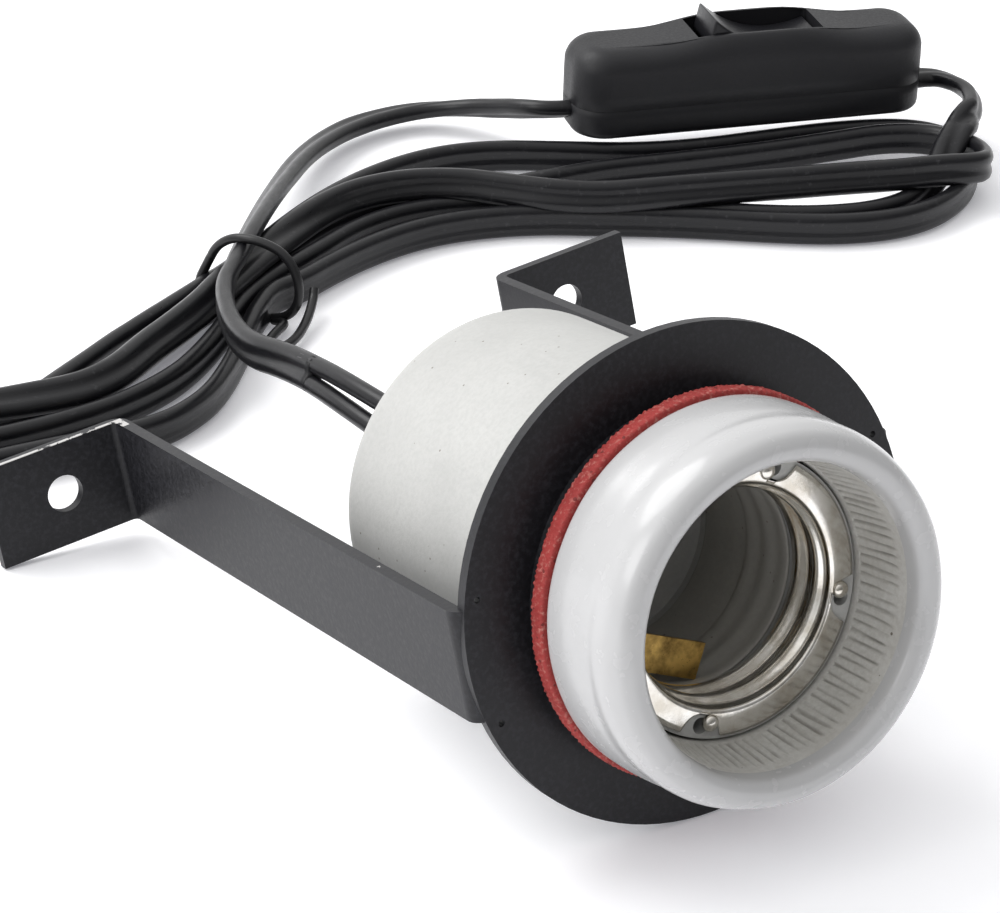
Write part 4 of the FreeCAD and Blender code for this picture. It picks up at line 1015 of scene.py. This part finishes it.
class FIXTURE_OT_switch_case(bpy.types.Operator):
    """Soft-edged case of the switch: rounded ends, a swell round the window, a fine seam"""

    bl_idname = "fixture.switch_case"
    bl_label = "Switch case"

    def execute(self, context):
        half_length, half_width, height, seam = 30.4, 7.45, 14.75, 5.0
        matrix = settled(SWITCH)
        rows = []

        def add(points, level, swell=0.0):
            rows.append([matrix @ Vector((x, y, level + swell * window_swell(x)))
                         for x, y in points])

        low, corner = 1.3, 5.6
        for k in range(6):
            angle = math.pi / 2 * k / 5
            inset = low * (1 - math.sin(angle))
            add(case_outline(half_length - inset, half_width - inset, corner - inset),
                low * (1 - math.cos(angle)) + 0.02)
        for level, inset in ((3.4, 0.0), (seam - 0.18, 0.0), (seam - 0.05, 0.14), (seam + 0.05, 0.14),
                             (seam + 0.18, 0.0), (7.6, 0.0), (9.0, 0.0)):
            add(case_outline(half_length - inset, half_width - inset, corner - inset), level)
        edge = 4.1
        for k in range(1, 11):
            angle = math.pi / 2 * k / 10
            inset = edge * (1 - math.cos(angle))
            add(case_outline(half_length - inset, half_width - inset, corner - inset,
                             swell=inset * 0.46), height - edge + edge * math.sin(angle),
                SWELL * (k / 10) ** 2)
        shoulder = case_outline(half_length - edge, half_width - edge, corner - edge,
                                swell=edge * 0.46)
        window = case_outline(10.9, 4.75, 0.7, middle=WINDOW_MIDDLE)
        for k in range(1, 7):
            t = k / 6
            add([(a[0] * (1 - t) + b[0] * t, a[1] * (1 - t) + b[1] * t)
                 for a, b in zip(shoulder, window)], height, SWELL)
        add(window, height - 0.35, SWELL)
        for level in (height - 1.0, height - 3.0, height - 5.0, 7.4):
            add(window, level)
        mesh = sealed(grid_mesh("switch_case", rows))
        case = linked("switch_case", mesh, "plastic")
        mesh.set_sharp_from_angle(angle=math.radians(50))
        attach(case, "root")
        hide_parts("switch_base", "switch_cover")
        return {"FINISHED"}


class FIXTURE_OT_rocker(bpy.types.Operator):
    """Rocker with its scooped top and rounded edges"""

    bl_idname = "fixture.rocker"
    bl_label = "Rocker"

    def execute(self, context):
        half, rise, wide = 9.4, 5.6, 4.4
        top = []
        for step in range(25):
            share = 1 - step / 12
            top.append((half * share, rise * (0.5 + 0.5 * share * share)))
        side = top + [(-half, 1.2), (-6.0, -2.0), (-2.4, -2.0), (-2.4, -4.4), (2.4, -4.4),
                      (2.4, -2.0), (6.0, -2.0), (half, 1.2)]
        work = bmesh.new()
        matrix = settled(PIVOT @ Matrix.Rotation(math.radians(12.0), 4, "Y"))
        loops = [[work.verts.new((x, y, z)) for x, z in side] for y in (-wide, wide)]
        count = len(side)
        for j in range(count):
            beside = (j + 1) % count
            work.faces.new((loops[0][j], loops[0][beside], loops[1][beside], loops[1][j]))
        work.faces.new(loops[0])
        work.faces.new(loops[1][::-1])
        bmesh.ops.recalc_face_normals(work, faces=work.faces)
        sharp = [e for e in work.edges if e.calc_face_angle(0) > math.radians(30)]
        bmesh.ops.bevel(work, geom=sharp, offset=0.45, segments=3, profile=0.5, affect="EDGES",
                        clamp_overlap=True)
        mesh = bpy.data.meshes.new("rocker")
        work.to_mesh(mesh)
        work.free()
        mesh.transform(matrix)
        rocker = linked("rocker", mesh, "rocker")
        mesh.set_sharp_from_angle(angle=math.radians(40))
        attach(rocker, "rocker")
        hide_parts("switch_rocker")
        return {"FINISHED"}


class FIXTURE_OT_stage(bpy.types.Operator):
    """Pale floor, soft lights and the surrounding light"""

    bl_idname = "fixture.stage"
    bl_label = "Stage"

    def execute(self, context):
        half = context.scene.fixture_sizes.floor_size / 2
        mesh = bpy.data.meshes.new("floor")
        corners = [(-half, -half), (half, -half), (half, half), (-half, half)]
        mesh.from_pydata([(x, y, FLOOR_LEVEL) for x, y in corners], [], [(0, 1, 2, 3)])
        linked("floor", mesh, "floor", smooth=False)
        lamps = [
            ("back_light", (-0.40, 0.70, 0.95), (0.02, 0.05, 0.0), 0.9, 9.0),
            ("rim_light", (-0.90, 0.10, 0.55), (0.0, 0.0, 0.03), 0.5, 2.0),
        ]
        for name, spot, aim, size, power in lamps:
            data = bpy.data.lights.new(name, "AREA")
            data.shape = "DISK"
            data.size = size
            data.energy = power
            lamp = bpy.data.objects.new(name, data)
            lamp.location = spot
            lamp.rotation_euler = (Vector(spot) - Vector(aim)).to_track_quat("Z", "Y").to_euler()
            context.scene.collection.objects.link(lamp)
        world = bpy.data.worlds.new("surround")
        world.use_nodes = True
        nodes, links = world.node_tree.nodes, world.node_tree.links
        facing = nodes.new("ShaderNodeVectorMath")
        facing.operation = "DOT_PRODUCT"
        facing.inputs[1].default_value = Vector((-0.30, 0.62, 0.72)).normalized()
        links.new(nodes.new("ShaderNodeTexCoord").outputs["Generated"], facing.inputs[0])
        fall = nodes.new("ShaderNodeMapRange")
        fall.interpolation_type = "SMOOTHSTEP"
        for label, value in (("From Min", -0.45), ("From Max", 0.75), ("To Min", 0.22),
                             ("To Max", 1.15)):
            fall.inputs[label].default_value = value
        links.new(facing.outputs["Value"], fall.inputs["Value"])
        links.new(fall.outputs["Result"], nodes["Background"].inputs["Strength"])
        nodes["Background"].inputs["Color"].default_value = (1.0, 1.0, 1.0, 1.0)
        context.scene.world = world
        context.scene.view_settings.view_transform = "Standard"
        return {"FINISHED"}


OPERATORS = (
    FIXTURE_OT_camera, FIXTURE_OT_cords, FIXTURE_OT_cad_finishes, FIXTURE_OT_collar,
    FIXTURE_OT_washer, FIXTURE_OT_threaded_shell, FIXTURE_OT_stakes, FIXTURE_OT_tie,
    FIXTURE_OT_switch_case, FIXTURE_OT_rocker, FIXTURE_OT_stage,
)


class FIXTURE_PT_panel(bpy.types.Panel):
    """Lists the operators"""

    bl_idname = "FIXTURE_PT_panel"
    bl_label = "Lamp Fixture"
    bl_space_type = "VIEW_3D"
    bl_region_type = "UI"
    bl_category = "Lamp Fixture"

    def draw(self, context):
        for settings in (context.scene.fixture_sizes, context.scene.fixture_colours):
            for name in settings.__annotations__:
                self.layout.prop(settings, name)
        for operator in OPERATORS:
            self.layout.operator(operator.bl_idname)


CLASSES = (FixtureSizes, FixtureColours, *OPERATORS, FIXTURE_PT_panel)


def register():
    for item in CLASSES:
        bpy.utils.register_class(item)
    bpy.types.Scene.fixture_sizes = PointerProperty(type=FixtureSizes)
    bpy.types.Scene.fixture_colours = PointerProperty(type=FixtureColours)


def unregister():
    del bpy.types.Scene.fixture_colours
    del bpy.types.Scene.fixture_sizes
    for item in reversed(CLASSES):
        bpy.utils.unregister_class(item)


def main():
    register()
    make_finishes(bpy.context.scene.fixture_colours)
    for operator in OPERATORS:
        group, name = operator.bl_idname.split(".")
        if getattr(getattr(bpy.ops, group), name)() != {"FINISHED"}:
            raise RuntimeError(operator.bl_label + " did not finish")


if __name__ == "__main__":
    main()
